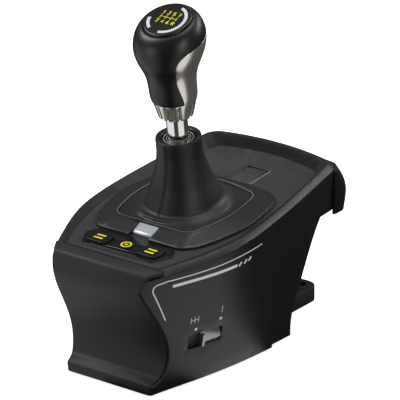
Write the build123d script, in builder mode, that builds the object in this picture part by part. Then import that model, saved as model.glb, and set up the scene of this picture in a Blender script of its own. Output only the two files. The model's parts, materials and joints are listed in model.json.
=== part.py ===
from build123d import *
from math import cos, radians, sin, tan
import os

os.makedirs("parts", exist_ok=True)

# Sim racing gear shifter. +Z up, +Y away from the driver, origin at the centre of the underside.

# Housing, driving sizes
front_y = -117
rear_y = 107
edge_half_width = 73
foot_half_width = 56
rim_height = 112.9
rim_tilt = 6.9
deck_height = 108.2
deck_tilt = 4.7
bevel_width = 5
bevel_drop = 4
wall = 2.5
seam_gap = 0.3
cut = 1
front_panel_inset = 2
front_seam = 0.9
front_top_depth = 16.5

# Pivot of the lever and its lean towards the driver
pivot_y = -6.4
pivot_z = 80
lever_lean = 8
cradle_front_reach = 20.1
cradle_rear_reach = 36.9
cradle_front_y = pivot_y - cradle_front_reach
cradle_rear_y = pivot_y + cradle_rear_reach

# Side view of the housing
lip_back = 4.8
crease_height = 87
waist_depth = 27
lip_round = 4
pad_height = 1.5
base_thickness = 2.5
base_rear_y = 38
skirting_rear_y = 20
rear_foot_y = 42
rear_sweep = 32
overhang_height = 89
skirt_seam_y = 92
corner_round = 13

# Shares of the outlines: (half-width, way from front to rear)
edge_side_shares = [(0.541, 0), (0.583, 0.018), (0.705, 0.085), (0.82, 0.17), (0.942, 0.278),
                    (1, 0.395), (0.993, 0.493), (0.94, 0.677), (0.862, 0.852), (0.815, 0.965)]
foot_side_shares = [(0.65, 0), (0.72, 0.12), (0.79, 0.2), (0.915, 0.36), (0.995, 0.53), (1.03, 0.72),
                    (1.06, 0.965)]
front_curve_shares = [(0.367, 0.685), (0.824, 0.468), (1, 0.312), (0.95, 0.191), (0.824, 0.126)]
foot_front_share = 0.52
foot_ledge_share = 0.09
rear_curve_shares = [(0, 0.05), (0.05, 0.335), (0.28, 0.536), (0.7, 0.85), (1, 1)]

base_top = pad_height + base_thickness
panel_bottom = pad_height


def tilted(height, tilt, y=0):
    """A plane through the middle of the object at this height, its rear edge raised by the tilt."""
    return Plane(origin=(0, y, height), x_dir=(1, 0, 0), z_dir=(0, -sin(radians(tilt)), cos(radians(tilt))))


def corners_near(face, point):
    """The two mirrored corners of a sketch that lie nearest to a point and its mirror image."""
    return [face.vertices().sort_by_distance((x, point[1]))[0] for x in (point[0], -point[0])]


def outline(plane, half_width, front, rear, shares, rear_round, front_round=0):
    """A face with straight front, curved sides and bowed rear edge, its corners rounded."""
    side = [(half_width * w, front + (rear - front) * way) for w, way in shares]
    with BuildSketch(plane) as face:
        with BuildLine():
            Line((-side[0][0], side[0][1]), side[0])
            Spline(*side)
            ThreePointArc(side[-1], (0, rear), (-side[-1][0], side[-1][1]))
            Spline(*[(-x, y) for x, y in reversed(side)])
        make_face()
        fillet(corners_near(face, side[-1]), rear_round)
        if front_round > 0:
            fillet(corners_near(face, side[0]), front_round)
    return face.sketch


rim_plane = tilted(rim_height, rim_tilt)
edge_plane = rim_plane.offset(-bevel_drop)
deck_plane = tilted(deck_height, deck_tilt)


def rim_z(y):
    return rim_height + y * tan(radians(rim_tilt))


def band(low_x, high_x, low_y, high_y, low_z, high_z):
    """A box given by its limits."""
    size = (high_x - low_x, high_y - low_y, high_z - low_z)
    middle = ((low_x + high_x) / 2, (low_y + high_y) / 2, (low_z + high_z) / 2)
    return Pos(*middle) * Box(*size, mode=Mode.PRIVATE)


def side_view(inset):
    """The side view of the housing in the YZ plane, moved inward by the inset and open below."""
    lip_z = rim_z(front_y + lip_back)
    crease = (front_y + inset, crease_height - inset)
    curve = [(front_y + inset + waist_depth * d, lip_z * h) for d, h in front_curve_shares]
    foot = front_y + inset + waist_depth * foot_front_share
    rear = [(rear_foot_y - inset + rear_sweep * d, overhang_height * h + inset) for d, h in rear_curve_shares]
    low = panel_bottom - inset
    lip = (front_y + lip_back + inset, lip_z - inset)
    top_rear = (rear_y + cut, rim_z(rear_y + cut) - inset)
    with BuildSketch(Plane.YZ) as view:
        with BuildLine():
            Line(lip, crease)
            Spline(crease, *curve)
            Polyline(curve[-1], (foot, lip_z * foot_ledge_share), (foot, low), (rear[0][0], low), rear[0])
            Spline(*rear)
            Polyline(rear[-1], (rear_y + cut, rear[-1][1]), top_rear, lip)
        make_face()
        corners = view.vertices()
        fillet(corners.sort_by_distance((lip[0], lip[1]))[0], lip_round)
    return view.sketch


def side_form(inset):
    """The space between the two side surfaces, moved inward by the inset."""
    low = outline(Plane.XY, foot_half_width - inset, front_y - cut, rear_y - inset, foot_side_shares, corner_round)
    high = outline(rim_plane.offset(bevel_drop), edge_half_width - inset, front_y - cut, rear_y - inset,
                   edge_side_shares, corner_round)
    with BuildPart() as solid:
        loft([low, high], ruled=True)
    return solid.part


def side_view_form(inset):
    """The side view of the housing as a wide block."""
    with BuildPart() as solid:
        extrude(side_view(inset), amount=edge_half_width + cut, both=True)
    return solid.part


def housing(inset):
    """The housing as one solid, its walls moved inward by the inset."""
    with BuildPart() as solid:
        add(side_form(inset))
        add(side_view_form(inset), mode=Mode.INTERSECT)
    return solid.part


# Housing shell: front panel, side panels and rear panel are cut from one wall, so that they line up
rear_panel_margin = 12
rear_panel_half_width = foot_half_width - rear_panel_margin
panel_reach = 200

front_edge_round = 2.5
sharp_form = housing(0)
front_corner_edges = [e for e in sharp_form.edges()
                      if abs(e.center().X) > edge_half_width / 2 and e.center().Y < front_y + waist_depth
                      and e.center().Z < crease_height - lip_round and e.length > lip_round]
outer_form = sharp_form.fillet(front_edge_round, front_corner_edges)
with BuildPart() as shell:
    add(outer_form)
    add(housing(wall), mode=Mode.SUBTRACT)
    add(band(-panel_reach, panel_reach, skirting_rear_y, panel_reach, 0, base_top), mode=Mode.SUBTRACT)


def front_zone(room):
    """The space of the front panel with its top return, grown by the room left around it."""
    lower_rear_y = front_y + waist_depth + wall + cut
    upper_rear_y = front_y + front_top_depth + room
    with BuildPart() as zone:
        add(band(-panel_reach, panel_reach, front_y - wall, lower_rear_y, 0, crease_height))
        add(band(-panel_reach, panel_reach, front_y - wall, upper_rear_y, crease_height, panel_reach))
        add(side_form(front_panel_inset - room), mode=Mode.INTERSECT)
        add(side_view_form(wall + room), mode=Mode.SUBTRACT)
    return zone.part


front_room = front_zone(front_seam)
with BuildPart() as front_panel:
    add(front_zone(0))
    add(outer_form, mode=Mode.INTERSECT)

screw_boss_radius = 4.5
screw_boss_height = 12
screw_hole_radius = 1.6
screw_web_half = 1.5
screw_web_reach = 11
front_screw_inset = 15.5
rear_screw_inset = 9.8
front_screw_at = (foot_half_width - front_screw_inset, -60)
rear_screw_at = (foot_half_width - rear_screw_inset, 10)


# Mode slider on the right side, its plane lies on the slanted wall
slot_origin = (54.1, -58.1, 36.1)
slot_along = (0.194, 1, 0)
slot_out = (0.965, -0.187, -0.183)
slot_length = 32
slot_height = 12
slot_round = 2
slot_plane = Plane(origin=slot_origin, x_dir=slot_along, z_dir=slot_out)


def slot_box(low_x, high_x, low_y, high_y, low_h, high_h):
    """A box in the frame of the slider, given by its limits."""
    middle = slot_plane.location * Pos((low_x + high_x) / 2, (low_y + high_y) / 2, (low_h + high_h) / 2)
    return middle * Box(high_x - low_x, high_y - low_y, high_h - low_h, mode=Mode.PRIVATE)


with BuildPart() as mode_slot:
    with BuildSketch(slot_plane):
        RectangleRounded(slot_length, slot_height, slot_round)
    extrude(amount=slot_height / 2, both=True)


def side_panel(side):
    """The panel on one side, 1 for the right and -1 for the left, without its screw bosses."""
    rear_seam = rear_panel_half_width + seam_gap
    with BuildPart() as panel:
        add(shell.part)
        split(bisect_by=edge_plane.offset(-seam_gap), keep=Keep.BOTTOM)
        keep_x = sorted((0, side * panel_reach))
        add(band(*keep_x, -panel_reach, skirt_seam_y, 0, panel_reach), mode=Mode.INTERSECT)
        cut_x = sorted((0, side * rear_seam))
        add(band(*cut_x, 0, panel_reach, 0, panel_reach), mode=Mode.SUBTRACT)
        add(front_room, mode=Mode.SUBTRACT)
        for x, y in (front_screw_at, rear_screw_at):
            with BuildSketch(Plane.XY.offset(base_top)):
                with Locations((side * x, y)):
                    Circle(screw_boss_radius)
                    Circle(screw_hole_radius, mode=Mode.SUBTRACT)
            extrude(amount=screw_boss_height)
            web_x = sorted((side * (x + screw_boss_radius - screw_web_half), side * (x + screw_web_reach)))
            add(band(*web_x, y - screw_web_half, y + screw_web_half, base_top, base_top + screw_boss_height))
        add(outer_form, mode=Mode.INTERSECT)
        if side > 0:
            add(mode_slot.part, mode=Mode.SUBTRACT)
    return panel


right_side_panel = side_panel(1)
left_side_panel = side_panel(-1)

# Cable socket in the rear panel
socket_x = 25
socket_z = 34
socket_half_width = 6
socket_half_height = 3.5
socket_front_y = 32
socket_rear_y = 44.4
socket_gap = 0.2
socket_mouth_half_width = 4.4
socket_mouth_half_height = 1.5
socket_mouth_depth = 7

# Clamp plate with its tongue and screws
clamp_half_width = 46.5
clamp_front_y = 45.2
clamp_rear_y = 96
clamp_low_z = 13
clamp_high_z = 24
clamp_corner_round = 11
clamp_hole_x = 34.3
clamp_hole_y = 87
clamp_hole_radius = 4.2
tongue_half_width = 30
tongue_gap = 0.3
tongue_front_y = cradle_rear_y + tongue_gap
tongue_low_z = 14.5
tongue_high_z = 22.5
clamp_border = 4
clamp_recess = 1
clamp_screw_radius = 2
clamp_screw_head_radius = 3.5
clamp_screw_head_height = 2.4
clamp_screw_x = 16
clamp_screw_z = 18.5
clamp_screw_wall = 7.1
clamp_screw_head_y = cradle_rear_y - clamp_screw_wall
clamp_screw_length = 15
desk_pad_half_width = 38
desk_pad_front_y = 77

with BuildPart() as tongue_slot:
    add(band(-tongue_half_width - tongue_gap, tongue_half_width + tongue_gap, tongue_front_y, clamp_front_y + cut,
             tongue_low_z - tongue_gap, tongue_high_z + tongue_gap))
with BuildPart() as socket_hole:
    add(band(socket_x - socket_half_width - socket_gap, socket_x + socket_half_width + socket_gap,
             socket_front_y, socket_rear_y + wall, socket_z - socket_half_height - socket_gap,
             socket_z + socket_half_height + socket_gap))

with BuildPart() as rear_panel:
    add(shell.part)
    add(band(-rear_panel_half_width, rear_panel_half_width, rear_foot_y - wall - cut, skirt_seam_y - seam_gap,
             0, panel_reach), mode=Mode.INTERSECT)
    split(bisect_by=tilted(overhang_height + wall + cut, 0), keep=Keep.BOTTOM)
    add(tongue_slot.part, mode=Mode.SUBTRACT)
    add(socket_hole.part, mode=Mode.SUBTRACT)


# Top cover: bevelled rim, tray and the flange that sits inside the side panels
ridge_rear_margin = 3
tray_front_margin = 17
tray_rear_margin = 8
tray_side_margin = 12.7
tray_side_flare = 7.1
tray_rear_flare = 2
ridge_front_y = front_y + lip_back
ridge_rear_y = rear_y - ridge_rear_margin
tray_front_y = front_y + tray_front_margin
tray_rear_y = rear_y - tray_rear_margin
tray_half_width = edge_half_width - tray_side_margin
tray_top_half_width = tray_half_width + tray_side_flare
tray_top_rear_y = tray_rear_y + tray_rear_flare
deck_thickness = 2.5
tray_corner_round = 8
tray_shares = [(0.614, 0), (0.912, 0.226), (0.96, 0.296), (0.988, 0.347), (1, 0.402), (0.995, 0.467),
               (0.965, 0.603), (0.934, 0.673), (0.884, 0.754), (0.852, 0.829), (0.805, 0.9), (0.75, 0.96)]
tray_top_shares = [(0.675, 0), (0.816, 0.105), (0.94, 0.226), (1, 0.347), (0.994, 0.467), (0.933, 0.673),
                   (0.83, 0.88), (0.77, 0.955)]
flange_depth = 14

# Boot opening, bezel and tab on the deck
bezel_margin = 2.7
bezel_side_slope = 15.3
bezel_front_slope = 15
bezel_rear_slope = 11.5
opening_side_margin = 7.3
opening_front_margin = 6
opening_rear_margin = 7
bezel_half_width = tray_half_width - bezel_margin
bezel_front_y = -67
bezel_rear_y = 45.5
bezel_edge_height = 2
bezel_crest_height = 6.4
crest_half_width = bezel_half_width - bezel_side_slope
crest_front_y = bezel_front_y + bezel_front_slope
crest_rear_y = bezel_rear_y - bezel_rear_slope
boot_opening_half_width = crest_half_width - opening_side_margin
boot_opening_front_y = crest_front_y + opening_front_margin
boot_opening_rear_y = crest_rear_y - opening_rear_margin
bezel_wall = 2.2
crest_wall = 1.4
bezel_corner_round = 10
bezel_shares = [(0.642, 0), (0.839, 0.116), (0.94, 0.28), (1, 0.464), (0.965, 0.7), (0.839, 0.9), (0.7, 0.965)]
crest_shares = [(0.811, 0), (0.93, 0.2), (1, 0.43), (0.97, 0.7), (0.882, 0.92)]
tab_half_width = 8.8
tab_gap = 0.4
tab_front_setback = 4.7
tab_length = 9.5
tab_slope_length = 1.6
tab_front_y = bezel_front_y + tab_front_setback
tab_rear_y = tab_front_y + tab_length
tab_slope_y = tab_front_y + tab_slope_length
tab_front_height = 2.7
tab_rear_height = 5.6
tab_lift = 0.4
notch_rear_gap = 0.6
notch_rear_y = tab_rear_y + notch_rear_gap

# Button panel
panel_corner_shares = [(32, 6), (40, 22.5), (34, 32.4)]
panel_outline = [(x, tray_front_y + way) for x, way in panel_corner_shares]
panel_height = 0.9
panel_round = 4
button_x = 23.2
button_way = 18
button_y = tray_front_y + button_way
button_width = 18
button_length = 14
button_round = 3
button_gap = 0.3
button_top = 2.6
button_travel = 1.5
button_flange = 1.6
button_flange_thickness = 1.2
button_flange_gap = 0.8
button_stem_radius = 2.5
button_stem_length = 1.2
switch_height = 4
switch_size = 6
switch_plunger_radius = 1.7
switch_plunger_height = 0.6
board_thickness = 1.6
board_side_margin = 33
board_front_margin = 9
board_length = 17
board_half_width = edge_half_width - board_side_margin
board_low_y = tray_front_y + board_front_margin
board_high_y = board_low_y + board_length
switch_top = -(deck_thickness + button_flange_gap + button_flange_thickness + button_stem_length
               + button_travel + button_gap)
board_top = switch_top - switch_plunger_height - switch_height
board_post_radius = 2
board_post_inset = 3
board_post_setback = 4
board_post_x = board_half_width - board_post_inset
board_post_ys = (board_low_y + board_post_setback, board_high_y - board_post_setback)
lens_radius = 6
lens_shift = 1
lens_y = button_y + lens_shift
lens_height = 1.6
lens_hole_radius = 4.8
lens_depth = 3.5

# Rear hatch
hatch_low_x = -5
hatch_high_x = 15
hatch_low_y = 48.5
hatch_high_y = 74
hatch_gap = 0.4
hatch_thickness = 1.8
well_wall = 1.6
well_depth = 16


def deck_box(low_x, high_x, low_y, high_y, low_h, high_h):
    """A box standing square on the deck, given by its limits; heights count from the deck."""
    size = (high_x - low_x, high_y - low_y, high_h - low_h)
    middle = deck_plane.offset((low_h + high_h) / 2).location * Pos((low_x + high_x) / 2, (low_y + high_y) / 2)
    return middle * Box(*size, mode=Mode.PRIVATE)


def bezel_outline(height, inset):
    return outline(deck_plane.offset(height), bezel_half_width - inset, bezel_front_y + inset,
                   bezel_rear_y - inset, bezel_shares, bezel_corner_round, bezel_corner_round)


def crest_outline(height, inset):
    return outline(deck_plane.offset(height), crest_half_width - inset, crest_front_y + inset,
                   crest_rear_y - inset, crest_shares, bezel_corner_round, bezel_corner_round)


def panel_corners():
    return [*panel_outline, *[(-x, y) for x, y in reversed(panel_outline)]]


flange_inset = wall + seam_gap
edge_face = outline(edge_plane, edge_half_width, front_y, rear_y, edge_side_shares, corner_round)
ridge_face = outline(rim_plane, edge_half_width - bevel_width, ridge_front_y, ridge_rear_y, edge_side_shares,
                     corner_round)
with BuildPart() as flange:
    add(housing(flange_inset))
    split(bisect_by=deck_plane.offset(-deck_thickness), keep=Keep.TOP)
    split(bisect_by=edge_plane, keep=Keep.BOTTOM)
    add(band(-panel_reach, panel_reach, tray_front_y, rear_y, 0, panel_reach), mode=Mode.INTERSECT)
with BuildPart() as rim_plate:
    loft([edge_face, ridge_face], ruled=True)
    add(outer_form, mode=Mode.INTERSECT)
    add(flange.part)
with BuildPart() as tray_room:
    loft([outline(deck_plane, tray_half_width, tray_front_y, tray_rear_y, tray_shares, tray_corner_round),
          outline(rim_plane, tray_top_half_width, tray_front_y, tray_top_rear_y, tray_top_shares,
                  tray_corner_round)], ruled=True)
with BuildPart() as boot_opening:
    add(outline(deck_plane, boot_opening_half_width, boot_opening_front_y, boot_opening_rear_y, crest_shares,
                bezel_corner_round, bezel_corner_round))
    extrude(amount=deck_thickness + cut, both=True)

with BuildPart() as top_cover:
    add(rim_plate.part)
    add(tray_room.part, mode=Mode.SUBTRACT)
    add(boot_opening.part, mode=Mode.SUBTRACT)
    add(front_room, mode=Mode.SUBTRACT)
    for side in (-1, 1):
        middle = side * button_x
        half_x = button_width / 2 + button_gap
        half_y = button_length / 2 + button_gap
        add(deck_box(middle - half_x, middle + half_x, button_y - half_y, button_y + half_y,
                     -deck_thickness - cut - flange_depth, cut), mode=Mode.SUBTRACT)
    with BuildSketch(deck_plane):
        with Locations((0, lens_y)):
            Circle(lens_hole_radius)
    extrude(amount=-flange_depth, mode=Mode.SUBTRACT)
    add(deck_box(hatch_low_x - hatch_gap, hatch_high_x + hatch_gap, hatch_low_y - hatch_gap,
                 hatch_high_y + hatch_gap, -flange_depth, cut), mode=Mode.SUBTRACT)
    with BuildSketch(deck_plane.offset(board_top)):
        with Locations(*[(x, y) for x in (-board_post_x, board_post_x) for y in board_post_ys]):
            Circle(board_post_radius)
    extrude(amount=-board_top - deck_thickness / 2)

with BuildPart() as bezel:
    add(bezel_outline(0, 0))
    extrude(amount=bezel_edge_height, dir=deck_plane.z_dir)
    loft([bezel_outline(bezel_edge_height, 0), crest_outline(bezel_crest_height, 0)], ruled=True)
    loft([bezel_outline(-cut, bezel_wall), crest_outline(bezel_crest_height - crest_wall, crest_wall)],
         ruled=True, mode=Mode.SUBTRACT)
    add(crest_outline(0, crest_wall))
    extrude(amount=bezel_crest_height + cut, dir=deck_plane.z_dir, mode=Mode.SUBTRACT)
    add(deck_box(-tab_half_width - tab_gap, tab_half_width + tab_gap, bezel_front_y - cut, notch_rear_y,
                 -cut, bezel_crest_height + cut), mode=Mode.SUBTRACT)

deck_side = Plane(origin=deck_plane.origin, x_dir=deck_plane.y_dir, z_dir=(1, 0, 0))
with BuildPart() as bezel_latch:
    with BuildSketch(deck_side):
        with BuildLine():
            Polyline((tab_front_y, tab_lift), (tab_front_y, tab_front_height / 2), (tab_slope_y, tab_front_height),
                     (tab_rear_y, tab_rear_height), (tab_rear_y, tab_lift), close=True)
        make_face()
    extrude(amount=tab_half_width, both=True)
    fillet(bezel_latch.edges().filter_by(Axis.X).sort_by(Axis.Z)[-2:], tab_lift)

with BuildPart() as button_panel:
    with BuildSketch(deck_plane) as panel_face:
        with BuildLine():
            Polyline(*panel_corners(), close=True)
        make_face()
        fillet(panel_face.vertices(), panel_round)
        for side in (-1, 1):
            with Locations((side * button_x, button_y)):
                RectangleRounded(button_width + button_gap + button_gap, button_length + button_gap + button_gap,
                                 button_round, mode=Mode.SUBTRACT)
        with Locations((0, lens_y)):
            Circle(lens_hole_radius, mode=Mode.SUBTRACT)
    extrude(amount=panel_height)


def push_button(side):
    """A button cap with a retaining flange under the deck and a stem down to its switch."""
    with BuildPart() as button:
        under = -deck_thickness - button_flange_gap - button_flange_thickness
        with BuildSketch(deck_plane.offset(under)) as face:
            with Locations((side * button_x, button_y)):
                RectangleRounded(button_width, button_length, button_round)
        extrude(amount=button_top - under)
        fillet(button.faces().sort_by(Axis.Z)[-1].edges(), tab_lift)
        with BuildSketch(deck_plane.offset(under)):
            with Locations((side * button_x, button_y)):
                Rectangle(button_width + button_flange, button_length + button_flange)
        extrude(amount=button_flange_thickness)
        with BuildSketch(deck_plane.offset(under)):
            with Locations((side * button_x, button_y)):
                Circle(button_stem_radius)
        extrude(amount=-button_stem_length)
    return button


left_button = push_button(-1)
right_button = push_button(1)

with BuildPart() as status_lens:
    with BuildSketch(deck_plane.offset(panel_height)):
        with Locations((0, lens_y)):
            Circle(lens_radius)
    extrude(amount=lens_height - panel_height)
    with BuildSketch(deck_plane.offset(panel_height)):
        with Locations((0, lens_y)):
            Circle(lens_hole_radius - button_gap)
    extrude(amount=-lens_depth)

with BuildPart() as button_board:
    add(deck_box(-board_half_width, board_half_width, board_low_y, board_high_y,
                 board_top - board_thickness, board_top))
with BuildPart() as button_switches:
    for side in (-1, 1):
        half = switch_size / 2
        add(deck_box(side * button_x - half, side * button_x + half, button_y - half, button_y + half,
                     board_top, board_top + switch_height))
        with BuildSketch(deck_plane.offset(board_top + switch_height)):
            with Locations((side * button_x, button_y)):
                Circle(switch_plunger_radius)
        extrude(amount=switch_plunger_height)

# Hatch with its well, screw and pin
knuckle_radius = 2.2
lug_radius = 1.9
lug_width = 2.8
pin_radius = 1.2
running_gap = 0.05
lug_room = 1
hinge_y = hatch_high_y - knuckle_radius
hinge_height = -knuckle_radius
hatch_middle_x = (hatch_low_x + hatch_high_x) / 2
hatch_middle_y = (hatch_low_y + hatch_high_y) / 2
well_low_x = hatch_low_x - hatch_gap
well_high_x = hatch_high_x + hatch_gap
well_low_y = hatch_low_y - hatch_gap
well_high_y = hatch_high_y + hatch_gap


def hinge_rod(radius, low_x, high_x):
    """A rod along the hatch hinge from one x to another."""
    origin = deck_plane.from_local_coords(Vector(low_x, hinge_y, hinge_height))
    rod = Plane(origin=origin, x_dir=deck_plane.y_dir, z_dir=(1, 0, 0)).location
    return rod * Cylinder(radius, high_x - low_x, mode=Mode.PRIVATE, align=(Align.CENTER, Align.CENTER, Align.MIN))


with BuildPart() as hatch_well:
    add(deck_box(well_low_x - well_wall, well_high_x + well_wall, well_low_y - well_wall, well_high_y + well_wall,
                 -well_depth - well_wall, -deck_thickness))
    add(deck_box(well_low_x, well_high_x, well_low_y, well_high_y, -well_depth, 0), mode=Mode.SUBTRACT)
    for low_x in (well_low_x, well_high_x - lug_width):
        add(deck_box(low_x, low_x + lug_width, hinge_y - lug_radius, well_high_y, -well_depth / 2, hinge_height))
        add(hinge_rod(lug_radius, low_x, low_x + lug_width))
    add(hinge_rod(pin_radius, well_low_x - cut, well_high_x + cut), mode=Mode.SUBTRACT)

with BuildPart() as hatch_pin:
    add(hinge_rod(pin_radius, well_low_x, well_high_x))

with BuildPart() as rear_hatch:
    add(deck_box(hatch_low_x, hatch_high_x, hatch_low_y, hinge_y, -hatch_thickness, 0))
    knuckle_low_x = well_low_x + lug_width + button_gap
    knuckle_high_x = well_high_x - lug_width - button_gap
    for low_x, high_x in ((hatch_low_x - cut, knuckle_low_x), (knuckle_high_x, hatch_high_x + cut)):
        add(deck_box(low_x, high_x, hinge_y - lug_radius - lug_room, hatch_high_y + cut, -well_depth, cut),
            mode=Mode.SUBTRACT)
    add(hinge_rod(knuckle_radius, knuckle_low_x, knuckle_high_x))
    add(hinge_rod(pin_radius + running_gap, well_low_x, well_high_x), mode=Mode.SUBTRACT)

tension_screw_radius = 3
tension_screw_top = -10
tension_screw_slot = 1.2
with BuildPart() as tension_screw:
    with BuildSketch(deck_plane.offset(-well_depth)):
        with Locations((hatch_middle_x, hatch_middle_y)):
            Circle(tension_screw_radius)
    extrude(amount=well_depth + tension_screw_top)
    with BuildSketch(deck_plane.offset(tension_screw_top)):
        with Locations((hatch_middle_x, hatch_middle_y)):
            Rectangle(tension_screw_radius + tension_screw_radius + cut, tension_screw_slot)
    extrude(amount=-tension_screw_slot, mode=Mode.SUBTRACT)

# Rear skirt, sections as (share of the depth, bulge to the rear, step in from the edge, tilt share)
skirt_front_y = 80
skirt_bottom_z = 85
skirt_floor_z = 89
skirt_corner_round = 13
skirt_wall = 2.5
skirt_side_shares = [(0.985, 0), (1, 0.3), (1, 0.6), (0.985, 0.83)]
skirt_section_shares = [(0, 0.8, 12.2, 1), (0.27, 7.6, 11.2, 0.73), (0.54, 11.6, 10.8, 0.46),
                        (0.8, 11.3, 11.2, 0.2), (1, 10.2, 11.8, 0)]
skirt_top_z = edge_plane.origin.Z + rear_y * tan(radians(rim_tilt))


def skirt_section(share, bulge, step, tilt_share, inset=0, lift=0):
    """One section of the rear skirt, moved inward by the inset and up by the lift."""
    tilt = rim_tilt * tilt_share
    height = skirt_top_z + (skirt_bottom_z - skirt_top_z) * share - rear_y * tan(radians(tilt))
    return outline(tilted(height + lift, tilt), edge_half_width - step - inset, skirt_front_y - inset - inset,
                   rear_y + bulge - inset, skirt_side_shares, skirt_corner_round - inset)


with BuildPart() as skirt_form:
    loft([skirt_section(*section) for section in skirt_section_shares])
with BuildPart() as skirt_room:
    loft([skirt_section(*section, skirt_wall, lift)
          for section, lift in zip(skirt_section_shares, (cut, 0, 0, 0, -cut))])
with BuildPart() as skirt_floor:
    add(skirt_form.part)
    add(band(-panel_reach, panel_reach, skirt_seam_y, panel_reach, skirt_floor_z, skirt_floor_z + skirt_wall),
        mode=Mode.INTERSECT)
with BuildPart() as rear_skirt:
    add(skirt_form.part)
    add(skirt_room.part, mode=Mode.SUBTRACT)
    add(skirt_floor.part)
    split(bisect_by=edge_plane.offset(-seam_gap), keep=Keep.BOTTOM)
    add(band(-panel_reach, panel_reach, skirt_seam_y + seam_gap, panel_reach, 0, panel_reach),
        mode=Mode.INTERSECT)

# Lever: everything on it is measured along its own axis from the pivot
rod_radius = 6
rod_top = 150
sleeve_radius = 8
sleeve_low = 24
sleeve_top = 125
ring_low = 106
ring_top = 120.3
ring_low_radius = 12.8
ring_top_radius = 16.5
ring_flute_count = 18
ring_flute_radius = 1.1
knob_section_shares = [(120.3, 16.7, -0.4, 0), (133, 17.9, -0.9, 0), (145, 20.3, -0.8, 4), (155.5, 24.8, 0, 8),
                       (165, 27.1, 0.6, 11), (174.5, 25.6, 0.7, 13), (181.5, 19.6, 0.6, 15)]
knob_tilt = 15
knob_split = 148.5
knob_skin = 2.2
core_radius = 9
core_top = 172
cap_radius = 18.4
cap_depth = 2.2
cap_dome = 1.6
cap_gap = 0.35
arc_inner_radius = 14.4
arc_outer_radius = 17
arc_height = 0.3
ring_round = 1.5
ring_land = 1.2
ring_flute_out = 0.6
full_turn = 360
trim_boundary = [(-8.2, 122), (-10.6, 131), (-13.2, 140), (-15.7, 149), (-17.3, 155.5), (-15.8, 161.2),
                 (-9.8, 165.2), (-2.5, 167.2), (7, 169.2), (17, 172.5)]
trim_reach = 60
trim_low = 110
trim_high = 190


def lever_plane(along, tilt=0, back=0):
    """A plane across the lever at this distance from the pivot, tilted towards the driver."""
    lean = radians(lever_lean)
    origin = (0, pivot_y - along * sin(lean) + back * cos(lean), pivot_z + along * cos(lean) + back * sin(lean))
    turn = radians(lever_lean + tilt)
    return Plane(origin=origin, x_dir=(1, 0, 0), z_dir=(0, -sin(turn), cos(turn)))


lever_axis = Axis(lever_plane(0).origin, lever_plane(0).z_dir)


def lever_rod_form(radius, low, high):
    """A round rod along the lever."""
    return lever_plane(low).location * Cylinder(radius, high - low, mode=Mode.PRIVATE,
                                                align=(Align.CENTER, Align.CENTER, Align.MIN))


def lever_box(half_x, half_y, low, high, middle_x=0, middle_y=0):
    """A box square to the lever, given by its half-widths and its limits along the lever."""
    middle = lever_plane(low, 0, middle_y).location * Pos(middle_x, 0)
    return middle * Box(half_x + half_x, half_y + half_y, high - low, mode=Mode.PRIVATE,
                        align=(Align.CENTER, Align.CENTER, Align.MIN))


def knob_solid(inset):
    """The knob with its surface moved inward by the inset."""
    faces = []
    for along, radius, back, tilt in knob_section_shares:
        with BuildSketch(lever_plane(along, tilt, back)) as face:
            Circle(radius - inset)
        faces.append(face.sketch)
    with BuildPart() as solid:
        loft(faces)
    return solid.part


def polar_point(radius, turn):
    return (radius * cos(radians(turn)), radius * sin(radians(turn)))


lever_side = Plane(origin=lever_plane(0).origin, x_dir=lever_plane(0).y_dir, z_dir=(1, 0, 0))


def trim_region(grow):
    """The space behind the front edge of the knob trim."""
    front = [(back - grow, along) for back, along in trim_boundary]
    with BuildSketch(lever_side) as face:
        with BuildLine():
            Spline(*front)
            Polyline(front[-1], (trim_reach, trim_high), (trim_reach, trim_low), (front[0][0], trim_low), front[0])
        make_face()
    with BuildPart() as solid:
        extrude(face.sketch, amount=trim_reach, both=True)
    return solid.part


knob_form = knob_solid(0)
knob_inner_form = knob_solid(knob_skin)
cap_plane = lever_plane(knob_section_shares[-1][0], knob_tilt, knob_section_shares[-1][2])
with BuildPart() as knob_body:
    add(knob_form)
    with BuildSketch(cap_plane):
        Circle(cap_radius + cap_gap)
    extrude(amount=-cap_depth, mode=Mode.SUBTRACT)
    add(lever_rod_form(core_radius, ring_low, core_top), mode=Mode.SUBTRACT)
with BuildPart() as trim_room:
    add(trim_region(cap_gap))
    add(knob_solid(knob_skin + cap_gap), mode=Mode.SUBTRACT)

with BuildPart() as knob_trim:
    add(knob_form)
    add(knob_inner_form, mode=Mode.SUBTRACT)
    add(trim_region(0), mode=Mode.INTERSECT)
with BuildPart() as knob_neck:
    add(knob_body.part)
    add(trim_room.part, mode=Mode.SUBTRACT)
    split(bisect_by=lever_plane(knob_split - cap_gap), keep=Keep.BOTTOM)
with BuildPart() as knob_grip:
    add(knob_body.part)
    add(trim_room.part, mode=Mode.SUBTRACT)
    split(bisect_by=lever_plane(knob_split), keep=Keep.TOP)
with BuildPart() as knob_cap:
    with BuildSketch(cap_plane.offset(-cap_depth)):
        Circle(cap_radius)
    extrude(amount=cap_depth + cap_dome)
    fillet(knob_cap.faces().sort_by_distance(cap_plane.offset(cap_dome).origin)[0].edges(), cap_dome)
with BuildPart() as knob_arcs:
    for turns in ((-58, 32), (160, 225)):
        with BuildSketch(cap_plane.offset(cap_dome)):
            with BuildLine():
                CenterArc((0, 0), arc_outer_radius - cap_dome, turns[0], turns[1] - turns[0])
                CenterArc((0, 0), arc_inner_radius - cap_dome, turns[0], turns[1] - turns[0])
                for turn in turns:
                    Line(polar_point(arc_inner_radius - cap_dome, turn), polar_point(arc_outer_radius - cap_dome, turn))
            make_face()
        extrude(amount=arc_height)

# Screws
screw_head_radius = 2.8
screw_head_height = 1.2
screw_shank_radius = 1.5
screw_length = 11

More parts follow.
